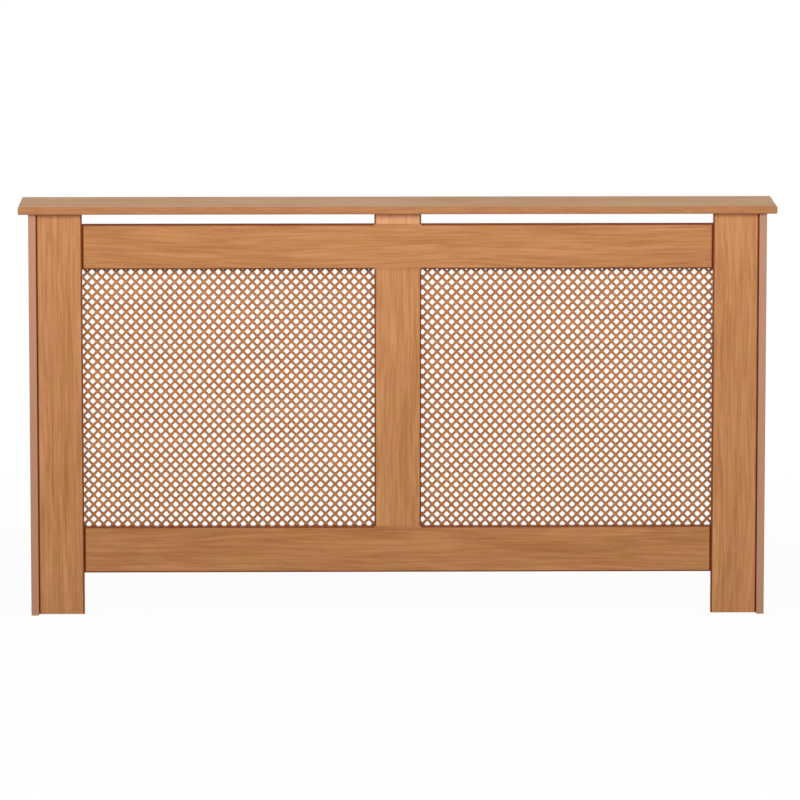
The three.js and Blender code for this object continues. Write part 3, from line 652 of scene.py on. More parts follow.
def through_rings(rings):
    """A closed mesh whose wall runs from ring to ring of points, with a face over each end."""
    bm = bmesh.new()
    rings = [[bm.verts.new(point) for point in ring] for ring in rings]
    for lower, upper in zip(rings, rings[1:]):
        for i in range(len(lower)):
            j = (i + 1) % len(lower)
            bm.faces.new((lower[i], lower[j], upper[j], upper[i]))
    bm.faces.new(rings[0][::-1])
    bm.faces.new(rings[-1])
    bmesh.ops.recalc_face_normals(bm, faces=bm.faces)
    return bm


def prism(outline, axis, low, high):
    """A closed mesh: an outline in the other two axes, in their cyclic order, drawn out along one."""
    rings = []
    for level in (low, high):
        ring = []
        for first, second in outline:
            point = Vector()
            point[axis], point[(axis + 1) % 3], point[(axis + 2) % 3] = level, first, second
            ring.append(point)
        rings.append(ring)
    return through_rings(rings)


def box_prism(low, high):
    outline = [(low.y, low.z), (high.y, low.z), (high.y, high.z), (low.y, high.z)]
    return prism(outline, 0, low.x, high.x)


def slice_at(bm, axis, place):
    """Cuts new edges where a plane crosses the mesh."""
    point, normal = Vector(), Vector()
    point[axis], normal[axis] = place, 1
    everything = bm.verts[:] + bm.edges[:] + bm.faces[:]
    bmesh.ops.bisect_plane(bm, geom=everything, dist=TOUCH, plane_co=point, plane_no=normal)


def round_edges(bm, pairs, radius, steps, wanted):
    """Rounds the wanted ones of the edges between sides such as ("-y", "+x")."""
    pairs = {frozenset(pair) for pair in pairs}
    edges = []
    for edge in bm.edges:
        sides = frozenset(direction(face.normal) for face in edge.link_faces)
        if sides in pairs and wanted(sides, (edge.verts[0].co + edge.verts[1].co) / 2):
            edges.append(edge)
    bmesh.ops.bevel(bm, geom=edges, offset=radius, offset_type="OFFSET", segments=steps,
                    profile=0.5, affect="EDGES", clamp_overlap=False)
    bm.normal_update()


def bores_of(nodes, box):
    """The bores that the turned fixings need in a board: ends of the axis and radius."""
    slack = settings().boards.bore_slack
    for node in nodes:
        low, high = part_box(node)
        if all(low[i] < box[1][i] - TOUCH and high[i] > box[0][i] + TOUCH for i in range(3)):
            start, end, radius = axis_ends(node, Vector())
            past = (end - start).normalized() * slack
            yield start - past, end + past, radius + slack


def upright_onto(along):
    """The turn that takes +Z onto a direction."""
    return Vector((0, 0, 1)).rotation_difference(along).to_matrix()


def cut_bore(piece, start, end, radius):
    """Bores the piece from start to end, with bare walls."""
    along = end - start
    turn = upright_onto(along).to_4x4()
    bm = bmesh.new()
    bmesh.ops.create_cone(
        bm, cap_ends=True, segments=settings().boards.bore_sides, radius1=radius, radius2=radius,
        depth=along.length, matrix=Matrix.Translation((start + end) / 2) @ turn)
    for face in bm.faces:
        face.material_index = min(CORE, len(piece.data.materials) - 1)
    cut_with(piece, piece_from(bm, "cutter", *piece.data.materials))


def cut_with(piece, cutter):
    """Subtracts the cutter from the piece, for good."""
    modifier = piece.modifiers.new("cut", "BOOLEAN")
    modifier.operation = "DIFFERENCE"
    modifier.solver = "EXACT"
    modifier.object = cutter
    settle(piece)
    bpy.data.objects.remove(cutter)


def sharpen(mesh, box):
    """Smooth shading over roundings and bores, and crisp edges round every flat side."""
    bm = bmesh.new()
    bm.from_mesh(mesh)
    flat = set()
    for face in bm.faces:
        face.smooth = True
        name = direction(face.normal)
        if name:
            axis, place = side_of(box, name)
            if abs(face.calc_center_median()[axis] - place) < TOUCH:
                flat.add(face)
    for edge in bm.edges:
        steep = len(edge.link_faces) == 2 and edge.calc_face_angle(0) > SHARP_ANGLE
        edge.smooth = not (steep or flat & set(edge.link_faces))
    bm.to_mesh(mesh)
    bm.free()


def mark_edges(mesh, box, broad, banded, radius, flush, plain_span):
    """Stores how far each face corner lies in a banded edge: 1 on it, 0 on the open face."""
    # On the front frame the banded colour is stain and painted shade, and its fade onto the front face is
    # painted shade.
    reach = settings().boards.stain_and_shade_reach
    edge = mesh.attributes.new("edge", "FLOAT", "CORNER")
    for face in mesh.polygons:
        name = direction(face.normal)
        sides = banded if abs(face.center.x) > plain_span else [s for s in banded if s not in flush]
        for loop in face.loop_indices:
            point = mesh.vertices[mesh.loops[loop].vertex_index].co
            depth = min((abs(point[axis] - place) for axis, place in
                         (side_of(box, side) for side in sides)), default=1.0)
            if name in sides or name is None and depth < radius:
                edge.data[loop].value = 1.0
            elif name is None or name[1] == broad:
                edge.data[loop].value = max(0.0, min(1.0, 1 - (depth - radius) / reach))


def mark_core(mesh, sawn, box, broad):
    """Gives the sawn sides bare fibreboard between the two veneers."""
    veneer = settings().boards.veneer
    axis = AXES.index(broad)
    for face in mesh.polygons:
        inside = min(face.center[axis] - box[0][axis], box[1][axis] - face.center[axis])
        if direction(face.normal) in sawn and inside > veneer:
            face.material_index = CORE


def make_board(name, node, skin, rounded, radius, broad, sawn=(), banded=(), outline=None,
               flush=(), plain_span=0.0):
    """A board in place of a node. rounded are its rounded edges, as pairs of sides, sawn its bare
    sides and banded the narrow sides with an edge strip, or on the front frame with stain and painted
    shade. Within plain_span of the middle, a flush side meets the stile and has neither rounding nor
    stain."""
    sizes = settings().boards
    box = low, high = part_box(node)
    bm = prism(outline, 0, low.x, high.x) if outline else box_prism(low, high)
    if plain_span:
        slice_at(bm, 0, -plain_span)
        slice_at(bm, 0, plain_span)
    round_edges(bm, rounded, radius, sizes.round_steps,
                lambda sides, middle: abs(middle.x) > plain_span or not sides & set(flush))
    fade = radius + sizes.stain_and_shade_reach
    for side in banded:
        axis, place = side_of(box, side)
        slice_at(bm, axis, place + fade if side[0] == "-" else place - fade)
    if sawn:
        axis = AXES.index(broad)
        slice_at(bm, axis, low[axis] + sizes.veneer)
        slice_at(bm, axis, high[axis] - sizes.veneer)
    piece = piece_from(bm, name, skin, fibreboard())
    for bore in bores_of(DOWELS + RAIL_CAMS + SHELF_CAMS + RAIL_BOLTS + SHELF_BOLTS, box):
        cut_bore(piece, *bore)
    mark_core(piece.data, sawn, box, broad)
    mark_edges(piece.data, box, broad, banded, radius, flush, plain_span)
    mark_leaf(piece.data, LEAVES[node])
    sharpen(piece.data, box)
    hand_over(piece, "oak_veneer", node)
    return piece


def mark_leaf(mesh, leaf):
    """Stores which leaf of veneer the piece is cut from, as a seed for its figure."""
    leaves = mesh.attributes.new("leaf", "FLOAT", "POINT")
    leaves.data.foreach_set("value", [float(leaf)] * len(mesh.vertices))


class CABINET_OT_shelf(Operator):
    """Makes the shelf, rounded along its front and both ends"""
    bl_idname = "cabinet.shelf"
    bl_label = "Shelf"

    def execute(self, context):
        rounded = [(side, level) for side in ("-y", "-x", "+x") for level in ("-z", "+z")]
        rounded += [("-y", "-x"), ("-y", "+x")]
        make_board("shelf_board", "top_shelf", shelf_oak(), rounded, settings().boards.shelf_round, "z",
                   sawn=("+y",), banded=("-y", "-x", "+x"))
        return {"FINISHED"}


class CABINET_OT_side_panels(Operator):
    """Makes the two side panels, notched for the skirting board"""
    bl_idname = "cabinet.side_panels"
    bl_label = "Side panels"

    def execute(self, context):
        for side in SIDES:
            node = f"{side}_side_panel"
            low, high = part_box(node)
            notch_y, notch_z = notch_corner(node)
            outline = [(low.y, low.z), (notch_y, low.z), (notch_y, notch_z), (high.y, notch_z),
                       (high.y, high.z), (low.y, high.z)]
            make_board(f"{side}_side_board", node, side_oak(), [("-y", "-x"), ("-y", "+x")],
                       settings().boards.side_round, "x", sawn=("+y", "-z"), banded=("-y",),
                       outline=outline)
        return {"FINISHED"}


def notch_corner(node):
    """Where the skirting notch's two sides meet, from the node's own corners."""
    low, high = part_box(node)
    points = [vertex.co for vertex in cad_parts[node].data.vertices]
    notch_y = max(point.y for point in points if point.z < low.z + TOUCH)
    notch_z = min(point.z for point in points if point.y > high.y - TOUCH)
    return notch_y, notch_z


class CABINET_OT_front_posts(Operator):
    """Makes the two broad front posts"""
    bl_idname = "cabinet.front_posts"
    bl_label = "Front posts"

    def execute(self, context):
        for side in SIDES:
            make_board(f"{side}_post_board", f"{side}_front_post", upright_oak(),
                       [("-y", "-x"), ("-y", "+x")], settings().boards.frame_round, "y",
                       sawn=("-z", "+z"), banded=("-x", "+x"))
        return {"FINISHED"}


class CABINET_OT_front_frame(Operator):
    """Makes the rails, the centre stile and the spacer block"""
    bl_idname = "cabinet.front_frame"
    bl_label = "Front frame"

    def execute(self, context):
        radius = settings().boards.frame_round
        stile_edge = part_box("centre_stile")[1].x
        all_round = [("-y", side) for side in ("-x", "+x", "-z", "+z")]
        uprights = [("-y", "-x"), ("-y", "+x")]
        ends = ("-x", "+x")
        make_board("top_rail_board", "top_rail", rail_oak(), all_round, radius, "y",
                   banded=ends + ("-z", "+z"), flush=("-z", "+z"), plain_span=stile_edge)
        make_board("bottom_rail_board", "bottom_rail", rail_oak(), all_round, radius, "y",
                   banded=ends + ("-z", "+z"), flush=("+z",), plain_span=stile_edge)
        make_board("centre_stile_board", "centre_stile", upright_oak(), uprights, radius, "y",
                   banded=ends)
        make_board("spacer_board", "spacer_block", block_oak(), uprights, radius, "y", banded=ends)
        return {"FINISHED"}


# ---------------------------------------------------------------- grilles


GEOMETRY, COUNT, MATERIAL = "NodeSocketGeometry", "NodeSocketInt", "NodeSocketMaterial"


def pierced_sheet_tree():
    """A flat sheet pierced with staggered diamonds, each with a chamfer round its front edge.

    Each hole sits in a diamond-shaped cell. The cells tile the sheet up to a plain border."""
    tree, given = new_tree("pierced_sheet", "GeometryNodeTree", [
        ("Width", NUMBER, 0.6), ("Height", NUMBER, 0.5), ("Thickness", NUMBER, 0.003),
        ("Pitch Across", NUMBER, 0.02), ("Pitch Down", NUMBER, 0.02), ("Hole", NUMBER, 0.014),
        ("Corner Radius", NUMBER, 0.001), ("Softening", NUMBER, 0.0005), ("Border", NUMBER, 0.002),
        ("Shift", VECTOR, None), ("Place", VECTOR, None), ("Face", MATERIAL, None),
        ("Cut Edge", MATERIAL, None),
    ], [("Geometry", GEOMETRY)])
    lattice = lattice_face(tree, given, pierced_cell(tree, given))
    face = welded(tree, joined(tree, [lattice, plain_border(tree, given, lattice)]))
    whole, cut = thickened(tree, given, face)
    for name in ("rim", "inward"):
        whole = put(tree, "GeometryNodeRemoveAttribute", {"Geometry": whole, "Name": name}).outputs[0]
    upright = put(tree, "GeometryNodeTransform", {
        "Geometry": whole, "Translation": given["Place"], "Rotation": (pi / 2, 0, 0)}).outputs[0]
    real = put(tree, "GeometryNodeRealizeInstances", {0: upright}).outputs[0]
    faced = put(tree, "GeometryNodeSetMaterial", {
        "Geometry": real, "Material": given["Face"]}).outputs[0]
    edged = put(tree, "GeometryNodeSetMaterial", {
        "Geometry": faced, "Selection": cut, "Material": given["Cut Edge"]}).outputs[0]
    return finish_tree(tree, {"Geometry": edged})


def halves(tree, given):
    """Half of a cell's width and of its height."""
    return [maths(tree, "MULTIPLY", given[pitch], 0.5) for pitch in ("Pitch Across", "Pitch Down")]


def pierced_cell(tree, given):
    """One flat cell round its hole, which the chamfer makes wider at the front. "inward" is how far a
    point of the hole moves in behind the chamfer, and "rim" is 1 on the cell's own outline."""
    across = given["Pitch Across"]
    widening = 2 * 2 ** 0.5  # a hole's growth from corner to corner for each step out of its sides
    front = maths(tree, "MULTIPLY_ADD", given["Softening"], widening, given["Hole"])
    slope = maths(tree, "DIVIDE", given["Pitch Down"], across)
    hole = put(tree, "GeometryNodeFilletCurve", {
        "Curve": diamond(tree, front, slope), "Count": 2, "Radius": given["Corner Radius"]},
        mode="POLY").outputs[0]
    ring = put(tree, "GeometryNodeFillCurve", {
        "Curve": joined(tree, [diamond(tree, across, slope), hole])}, mode="TRIANGLES").outputs[0]
    reach = maths(tree, "ADD", *(maths(tree, "DIVIDE", maths(tree, "ABSOLUTE", part), half)
                                 for part, half in zip(position_parts(tree), halves(tree, given))))
    rim = maths(tree, "GREATER_THAN", reach, 0.999)  # reach is 1 on the outline
    shrink = maths(tree, "SUBTRACT", maths(tree, "DIVIDE", given["Hole"], front), 1.0)
    inward = put(tree, "ShaderNodeVectorMath", {
        0: put(tree, "GeometryNodeInputPosition").outputs[0],
        "Scale": maths(tree, "MULTIPLY", shrink, maths(tree, "SUBTRACT", 1.0, rim))},
        operation="SCALE").outputs[0]
    return stored(tree, stored(tree, ring, "rim", "FLOAT", rim), "inward", "FLOAT_VECTOR", inward)


def lattice_face(tree, given, cell):
    """Cells on two grids of centres, half a pitch apart both ways and moved by the shift, wherever a
    whole cell fits inside the border."""
    across, down = given["Pitch Across"], given["Pitch Down"]
    columns, rows = even_count(tree, given["Width"], across), even_count(tree, given["Height"], down)
    grids = []
    for extra_column, extra_row in ((0, 1), (1, 0)):
        grid_columns = maths(tree, "ADD", columns, extra_column)
        grid_rows = maths(tree, "ADD", rows, extra_row)
        grids.append(put(tree, "GeometryNodeMeshGrid", {
            "Size X": maths(tree, "MULTIPLY", maths(tree, "SUBTRACT", grid_columns, 1.0), across),
            "Size Y": maths(tree, "MULTIPLY", maths(tree, "SUBTRACT", grid_rows, 1.0), down),
            "Vertices X": grid_columns, "Vertices Y": grid_rows}).outputs["Mesh"])
    centres = put(tree, "GeometryNodeSetPosition", {
        "Geometry": joined(tree, grids), "Offset": given["Shift"]}).outputs[0]
    margin = [maths(tree, "ADD", given["Border"], half) for half in halves(tree, given)]
    kept = put(tree, "GeometryNodeDeleteGeometry", {
        "Geometry": centres, "Selection": beyond(tree, given, margin)}, domain="POINT").outputs[0]
    cells = put(tree, "GeometryNodeInstanceOnPoints", {"Points": kept, "Instance": cell}).outputs[0]
    return welded(tree, put(tree, "GeometryNodeRealizeInstances", {0: cells}).outputs[0])


def plain_border(tree, given, lattice):
    """The flat band between the lattice's zigzag outline and the sheet's rim."""
    neighbours = put(tree, "GeometryNodeInputMeshEdgeNeighbors").outputs["Face Count"]
    single = maths(tree, "LESS_THAN", neighbours, 1.5)  # an outer edge has one face
    on_rim = maths(tree, "GREATER_THAN", named(tree, "rim", "FLOAT"), 0.99)
    zigzag = put(tree, "GeometryNodeMeshToCurve", {
        "Mesh": lattice, "Selection": maths(tree, "MULTIPLY", single, on_rim)}).outputs[0]
    outline = put(tree, "GeometryNodeCurvePrimitiveQuadrilateral", {
        "Width": given["Width"], "Height": given["Height"]}, mode="RECTANGLE").outputs[0]
    return put(tree, "GeometryNodeFillCurve", {"Curve": joined(tree, [outline, zigzag])},
               mode="TRIANGLES").outputs[0]


def thickened(tree, given, face):
    """The front face with its chamfers, walls and back behind it, and which faces are cut edges."""
    turned = put(tree, "GeometryNodeFlipFaces", {0: face}).outputs[0]
    chamfer = drawn_back(tree, turned, given["Softening"])
    narrowed = put(tree, "GeometryNodeSetPosition", {
        "Geometry": chamfer.outputs["Mesh"], "Selection": chamfer.outputs["Top"],
        "Offset": named(tree, "inward", "FLOAT_VECTOR")}).outputs[0]
    wall_depth = maths(tree, "SUBTRACT", given["Thickness"], given["Softening"])
    walls = drawn_back(tree, narrowed, wall_depth, chamfer.outputs["Top"])
    cut = put(tree, "FunctionNodeBooleanMath", {
        0: chamfer.outputs["Side"], 1: walls.outputs["Side"]}, operation="OR").outputs[0]
    return welded(tree, joined(tree, [face, walls.outputs["Mesh"]])), cut


def diamond(tree, width, slope):
    """A diamond-shaped curve, its height the width times the slope."""
    half_height = maths(tree, "MULTIPLY", maths(tree, "MULTIPLY", width, slope), 0.5)
    return put(tree, "GeometryNodeCurvePrimitiveQuadrilateral", {
        "Width": width, "Bottom Height": half_height, "Top Height": half_height},
        mode="KITE").outputs[0]


def stored(tree, geometry, name, kind, value):
    return put(tree, "GeometryNodeStoreNamedAttribute", {
        "Geometry": geometry, "Name": name, "Value": value}, data_type=kind, domain="POINT").outputs[0]


def named(tree, name, kind):
    return put(tree, "GeometryNodeInputNamedAttribute", {"Name": name}, data_type=kind).outputs[0]


def welded(tree, geometry):
    return put(tree, "GeometryNodeMergeByDistance", {
        "Geometry": geometry, "Distance": TOUCH / 2}).outputs[0]


def even_count(tree, extent, pitch):
    """The even number of pitches that covers an extent, with one to spare at each end."""
    halves = maths(tree, "CEIL", maths(tree, "DIVIDE", extent, maths(tree, "MULTIPLY", pitch, 2.0)))
    return maths(tree, "MULTIPLY_ADD", halves, 2.0, 2.0)


def joined(tree, parts):
    node = put(tree, "GeometryNodeJoinGeometry")
    for part in parts:
        tree.links.new(part, node.inputs[0])
    return node.outputs[0]


def position_parts(tree):
    return put(tree, "ShaderNodeSeparateXYZ", {
        0: put(tree, "GeometryNodeInputPosition").outputs[0]}).outputs


def beyond(tree, given, margin):
    """Whether a point lies outside the sheet's outline drawn in by a margin."""
    place = position_parts(tree)
    tests = []
    for part, extent, band in zip(place[:2], (given["Width"], given["Height"]), margin):
        limit = maths(tree, "SUBTRACT", maths(tree, "MULTIPLY", extent, 0.5), band)
        tests.append(maths(tree, "GREATER_THAN", maths(tree, "ABSOLUTE", part), limit))
    return maths(tree, "MAXIMUM", *tests)


def drawn_back(tree, mesh, distance, faces=True):
    """Extrudes faces straight back from the front of the sheet."""
    back = put(tree, "ShaderNodeCombineXYZ", {2: maths(tree, "MULTIPLY", distance, -1.0)}).outputs[0]
    return put(tree, "GeometryNodeExtrudeMesh", {
        "Mesh": mesh, "Selection": faces, "Offset": back, "Offset Scale": 1.0,
        "Individual": False}, mode="FACES")


def run_tree(piece, tree, values):
    """Puts a geometry node tree on the piece with named values, and keeps its result."""
    modifier = piece.modifiers.new(tree.name, "NODES")
    modifier.node_group = tree
    for item in tree.interface.items_tree:
        if item.in_out == "INPUT" and item.name in values:
            modifier[item.identifier] = values[item.name]
    return settle(piece)


class CABINET_OT_grilles(Operator):
    """Makes the two pierced sheets with their real lattice"""
    bl_idname = "cabinet.grilles"
    bl_label = "Grilles"

    def execute(self, context):
        sizes = settings().grille
        tree = pierced_sheet_tree()
        for side in SIDES:
            node = f"{side}_grille"
            low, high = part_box(node)
            size, middle = high - low, (low + high) / 2
            piece = piece_from(bmesh.new(), f"{side}_pierced_sheet", lattice_oak(), cut_edge())
            mesh = run_tree(piece, tree, {
                "Width": size.x, "Height": size.z, "Thickness": size.y,
                "Pitch Across": sizes.pitch_x, "Pitch Down": sizes.pitch_z, "Hole": sizes.hole,
                "Corner Radius": sizes.corner, "Softening": sizes.softening, "Border": sizes.border,
                "Shift": getattr(sizes, f"{side}_shift"), "Place": (middle.x, low.y, middle.z),
                "Face": lattice_oak(), "Cut Edge": cut_edge()})
            mark_leaf(mesh, LEAVES[node])
            hand_over(piece, "pierced_board", node)
        return {"FINISHED"}


# ---------------------------------------------------------------- turned fixings


def turned_tree():
    """Turned pieces along polylines: each point's girth is the radius there. The section can be
    fluted, and a cross can be sunk in the first end."""
    tree, given = new_tree("turned_fixings", "GeometryNodeTree", [
        ("Geometry", GEOMETRY, None), ("Sides", COUNT, 32), ("Flute Depth", NUMBER, 0.0),
        ("Recess Length", NUMBER, 0.0), ("Recess Width", NUMBER, 0.001), ("Recess Depth", NUMBER, 0.001),
        ("Material", MATERIAL, None),
    ], [("Geometry", GEOMETRY)])
    lines = put(tree, "GeometryNodeMeshToCurve", {"Mesh": given["Geometry"]}).outputs[0]
    circle = put(tree, "GeometryNodeCurvePrimitiveCircle", {
        "Resolution": given["Sides"], "Radius": 1.0}).outputs[0]
    index = put(tree, "GeometryNodeInputIndex").outputs[0]
    valley = maths(tree, "MULTIPLY", maths(tree, "MODULO", index, 2.0), given["Flute Depth"])
    shrink = maths(tree, "SUBTRACT", 1.0, valley)
    fluted = put(tree, "ShaderNodeVectorMath", {
        0: put(tree, "GeometryNodeInputPosition").outputs[0], "Scale": shrink},
        operation="SCALE").outputs[0]
    section = put(tree, "GeometryNodeSetPosition", {"Geometry": circle, "Position": fluted}).outputs[0]
    girth = named(tree, "girth", "FLOAT")
    solid = put(tree, "GeometryNodeCurveToMesh", {
        "Curve": lines, "Profile Curve": section, "Scale": girth, "Fill Caps": True}).outputs[0]

    # The cross: two bars at each line's start, square to it.
    depth = maths(tree, "MULTIPLY", given["Recess Depth"], 2.0)
    bars = []
    for first, second in (("Recess Length", "Recess Width"), ("Recess Width", "Recess Length")):
        size = put(tree, "ShaderNodeCombineXYZ", {0: given[first], 1: given[second], 2: depth}).outputs[0]
        bars.append(put(tree, "GeometryNodeMeshCube", {"Size": size}).outputs[0])
    cross = put(tree, "GeometryNodeMeshBoolean", {"Mesh 2": bars[0]}, operation="UNION",
                solver="EXACT")
    tree.links.new(bars[1], cross.inputs["Mesh 2"])
    start = put(tree, "GeometryNodeCurveEndpointSelection", {"Start Size": 1, "End Size": 0}).outputs[0]
    tangent = put(tree, "GeometryNodeInputTangent").outputs[0]
    facing = put(tree, "FunctionNodeAlignRotationToVector", {"Vector": tangent}, axis="Z").outputs[0]
    crosses = put(tree, "GeometryNodeInstanceOnPoints", {
        "Points": lines, "Selection": start, "Instance": cross.outputs[0], "Rotation": facing})
    cutters = put(tree, "GeometryNodeRealizeInstances", {0: crosses.outputs[0]}).outputs[0]
    sunk = put(tree, "GeometryNodeMeshBoolean", {"Mesh 1": solid, "Mesh 2": cutters},
               operation="DIFFERENCE", solver="EXACT").outputs[0]
    wanted = maths(tree, "GREATER_THAN", given["Recess Length"], 0.0)
    chosen = put(tree, "GeometryNodeSwitch", {"Switch": wanted, "False": solid, "True": sunk},
                 input_type="GEOMETRY").outputs[0]
    real = put(tree, "GeometryNodeRealizeInstances", {0: chosen}).outputs[0]
    shown = put(tree, "GeometryNodeSetMaterial", {
        "Geometry": real, "Material": given["Material"]}).outputs[0]
    return finish_tree(tree, {"Geometry": shown})


def turned_piece(name, lines, material, **values):
    """One piece holding a turned body along each line. A line is a list of (point, radius)."""
    bm = bmesh.new()
    girth = bm.verts.layers.float.new("girth")
    for line in lines:
        last = None
        for point, radius in line:
            vert = bm.verts.new(point)
            vert[girth] = radius
            if last:
                bm.edges.new((last, vert))
            last = vert
    piece = piece_from(bm, name, material)
    tree = bpy.data.node_groups.get("turned_fixings") or turned_tree()
    labels = {key.replace("_", " ").title(): value for key, value in values.items()}
    smooth_over(run_tree(piece, tree, {**labels, "Material": material}))
    return piece


def smooth_over(mesh):
    """Smooth shading between crisp edges."""
    mesh.shade_smooth()
    mesh.set_sharp_from_angle(angle=SHARP_ANGLE)


def line_along(start, end, stations):
    """The points of a turned piece: stations are (distance from the start, radius)."""
    along = (end - start).normalized()
    return [(start + along * distance, radius) for distance, radius in stations]


def chamfered(whole, radius, chamfer):
    """Stations of a plain round bar whose two ends are chamfered."""
    return [(0, radius - chamfer), (chamfer, radius), (whole - chamfer, radius), (whole, radius - chamfer)]


def thread(start, end, root, crest, pitch):
    """Stations of a thread's ridges between two distances."""
    turns = max(1, round((end - start) / pitch))
    step = (end - start) / turns
    stations = []
    for turn in range(turns):
        stations += [(start + turn * step, root), (start + (turn + 0.5) * step, crest)]
    return stations + [(end, root)]


class CABINET_OT_dowels(Operator):
    """Makes the fluted beech dowels inside the joints"""
    bl_idname = "cabinet.dowels"
    bl_label = "Dowels"

    def execute(self, context):
        chamfer = settings().fixings.dowel_chamfer
        lines = []
        for node in DOWELS:
            start, end, radius = axis_ends(node, Vector())
            lines.append(line_along(start, end, chamfered((end - start).length, radius, chamfer)))
        piece = turned_piece("beech_dowels", lines, beech(), sides=48, flute_depth=0.07)
        hand_over(piece, "beech_dowel", *DOWELS)
        return {"FINISHED"}


class CABINET_OT_cam_locks(Operator):
    """Makes the cam locks and their bolts"""
    bl_idname = "cabinet.cam_locks"
    bl_label = "Cam locks"

    def execute(self, context):
        sizes = settings().fixings
        far_back = Vector((0, 1e3, 0))
        locks = []
        for node in RAIL_CAMS + SHELF_CAMS:
            start, end, radius = axis_ends(node, far_back if node in RAIL_CAMS else Vector())
            rim = radius * 0.06
            locks.append(line_along(start, end, chamfered((end - start).length, radius, rim)))
        cams = turned_piece("cam_locks", locks, cast_zinc(), sides=48, recess_length=0.009,
                            recess_width=0.0016, recess_depth=0.002)
        bolts = []
        for node in RAIL_BOLTS + SHELF_BOLTS:
            start, end, head = axis_ends(node, Vector())
            whole = (end - start).length
            neck_from, neck_to = head * 1.4, head * 2.4
            thread_from = whole - sizes.bolt_thread
            bolts.append(line_along(start, end, [
                (0, head * 0.7), (head * 0.35, head), (head, head), (neck_from, sizes.bolt_neck),
                (neck_to, sizes.bolt_neck), (neck_to + 0.0007, sizes.bolt_shank),
                *thread(thread_from, whole - 0.0006, sizes.bolt_shank, sizes.bolt_shank * 1.24,
                        sizes.thread_pitch), (whole, sizes.bolt_shank * 0.6)]))
            cut_bore(cams, start, end, head + settings().boards.bore_slack)
        hand_over(cams, "zinc_casting", *RAIL_CAMS, *SHELF_CAMS)
        piece = turned_piece("cam_bolts", bolts, plated_steel(), sides=32)
        hand_over(piece, "plated_steel", *RAIL_BOLTS, *SHELF_BOLTS)
        return {"FINISHED"}


# ---------------------------------------------------------------- clips


def copies_tree():
    """A copy of one object on each vertex, turned by the vertex's own turn."""
    tree, given = new_tree("placed_copies", "GeometryNodeTree", [
        ("Geometry", GEOMETRY, None), ("Copied", "NodeSocketObject", None),
        ("Size", NUMBER, 1.0), ("Material", MATERIAL, None),
    ], [("Geometry", GEOMETRY)])
    copied = put(tree, "GeometryNodeObjectInfo", {"Object": given["Copied"]}).outputs["Geometry"]
    turn = named(tree, "turn", "FLOAT_VECTOR")
    rotation = put(tree, "FunctionNodeEulerToRotation", {0: turn}).outputs[0]
    copies = put(tree, "GeometryNodeInstanceOnPoints", {
        "Points": given["Geometry"], "Instance": copied, "Rotation": rotation,
        "Scale": put(tree, "ShaderNodeCombineXYZ", dict.fromkeys(range(3), given["Size"])).outputs[0]})
    real = put(tree, "GeometryNodeRealizeInstances", {0: copies.outputs[0]}).outputs[0]
    shown = put(tree, "GeometryNodeSetMaterial", {
        "Geometry": real, "Material": given["Material"]}).outputs[0]
    return finish_tree(tree, {"Geometry": shown})


def clip_body(foot, lip, width, lip_under, peg_inset, peg_depth, peg_radius):
    """One clip at the origin: its foot runs up +Z from the sheet's edge, its lip runs down over
    the sheet, and its peg points to the front."""
    sizes = settings().fixings
    wall, gap = sizes.clip_thickness, settings().boards.bore_slack
    lip_over = lip_under + wall
    outline = [(0, gap), (0, foot), (wall, foot), (wall, gap + wall), (lip_over, gap + wall),
               (lip_over, -lip), (lip_under, -lip), (lip_under, gap)]
    bm = prism(outline, 0, -width / 2, width / 2)
    edges = [edge for edge in bm.edges if edge.calc_face_angle_signed(0) > 0]
    bmesh.ops.bevel(bm, geom=edges, offset=sizes.clip_round, segments=3, profile=0.5, affect="EDGES")
    turn = Matrix.Rotation(-pi / 2, 4, "X")
    peg_taper = 0.85
    bmesh.ops.create_cone(
        bm, cap_ends=True, segments=24, radius1=peg_radius, radius2=peg_radius * peg_taper,
        depth=peg_depth, matrix=Matrix.Translation((0, -peg_depth / 2 - TOUCH, peg_inset)) @ turn)
    rib_height, rib_half = foot * 0.62, wall * 0.4
    rib = [(wall, gap + wall), (lip_over - sizes.clip_round, gap + wall), (wall, rib_height)]
    rib_bm = prism(rib, 0, -rib_half, rib_half)
    rib_mesh = bpy.data.meshes.new("rib")
    rib_bm.to_mesh(rib_mesh)
    rib_bm.free()
    bm.from_mesh(rib_mesh)
    bpy.data.meshes.remove(rib_mesh)
    return piece_from(bm, "clip_pattern")


class CABINET_OT_grille_clips(Operator):
    """Makes the moulded clips that hold the grille sheets"""
    bl_idname = "cabinet.grille_clips"
    bl_label = "Grille clips"

    def execute(self, context):
        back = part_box("centre_stile")[1].y
        bm = bmesh.new()
        turn = bm.verts.layers.float_vector.new("turn")
        for node in CLIPS:
            x, z, angle = clip_spot(node)
            vert = bm.verts.new((x, back + settings().boards.bore_slack, z))
            vert[turn] = (0, angle, 0)
        marks = piece_from(bm, "grille_clip_set", nylon())
        low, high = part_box("left_grille_clip_top_1")
        sheet_low, sheet_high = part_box("left_grille")
        pegs = [v.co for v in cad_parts["left_grille_clip_top_1"].data.vertices if v.co.y < back]
        peg_low, peg_high = min(p.z for p in pegs), max(p.z for p in pegs)
        pattern = clip_body(
            high.z - sheet_high.z, sheet_high.z - low.z, high.x - low.x,
            high.y - back - settings().fixings.clip_thickness - settings().boards.bore_slack,
            (peg_low + peg_high) / 2 - sheet_high.z, back - low.y, (peg_high - peg_low) / 2)
        run_tree(marks, copies_tree(), {"Copied": pattern, "Size": 1.0, "Material": nylon()})
        bpy.data.objects.remove(pattern)
        hand_over(marks, "brown_nylon", *CLIPS)
        return {"FINISHED"}


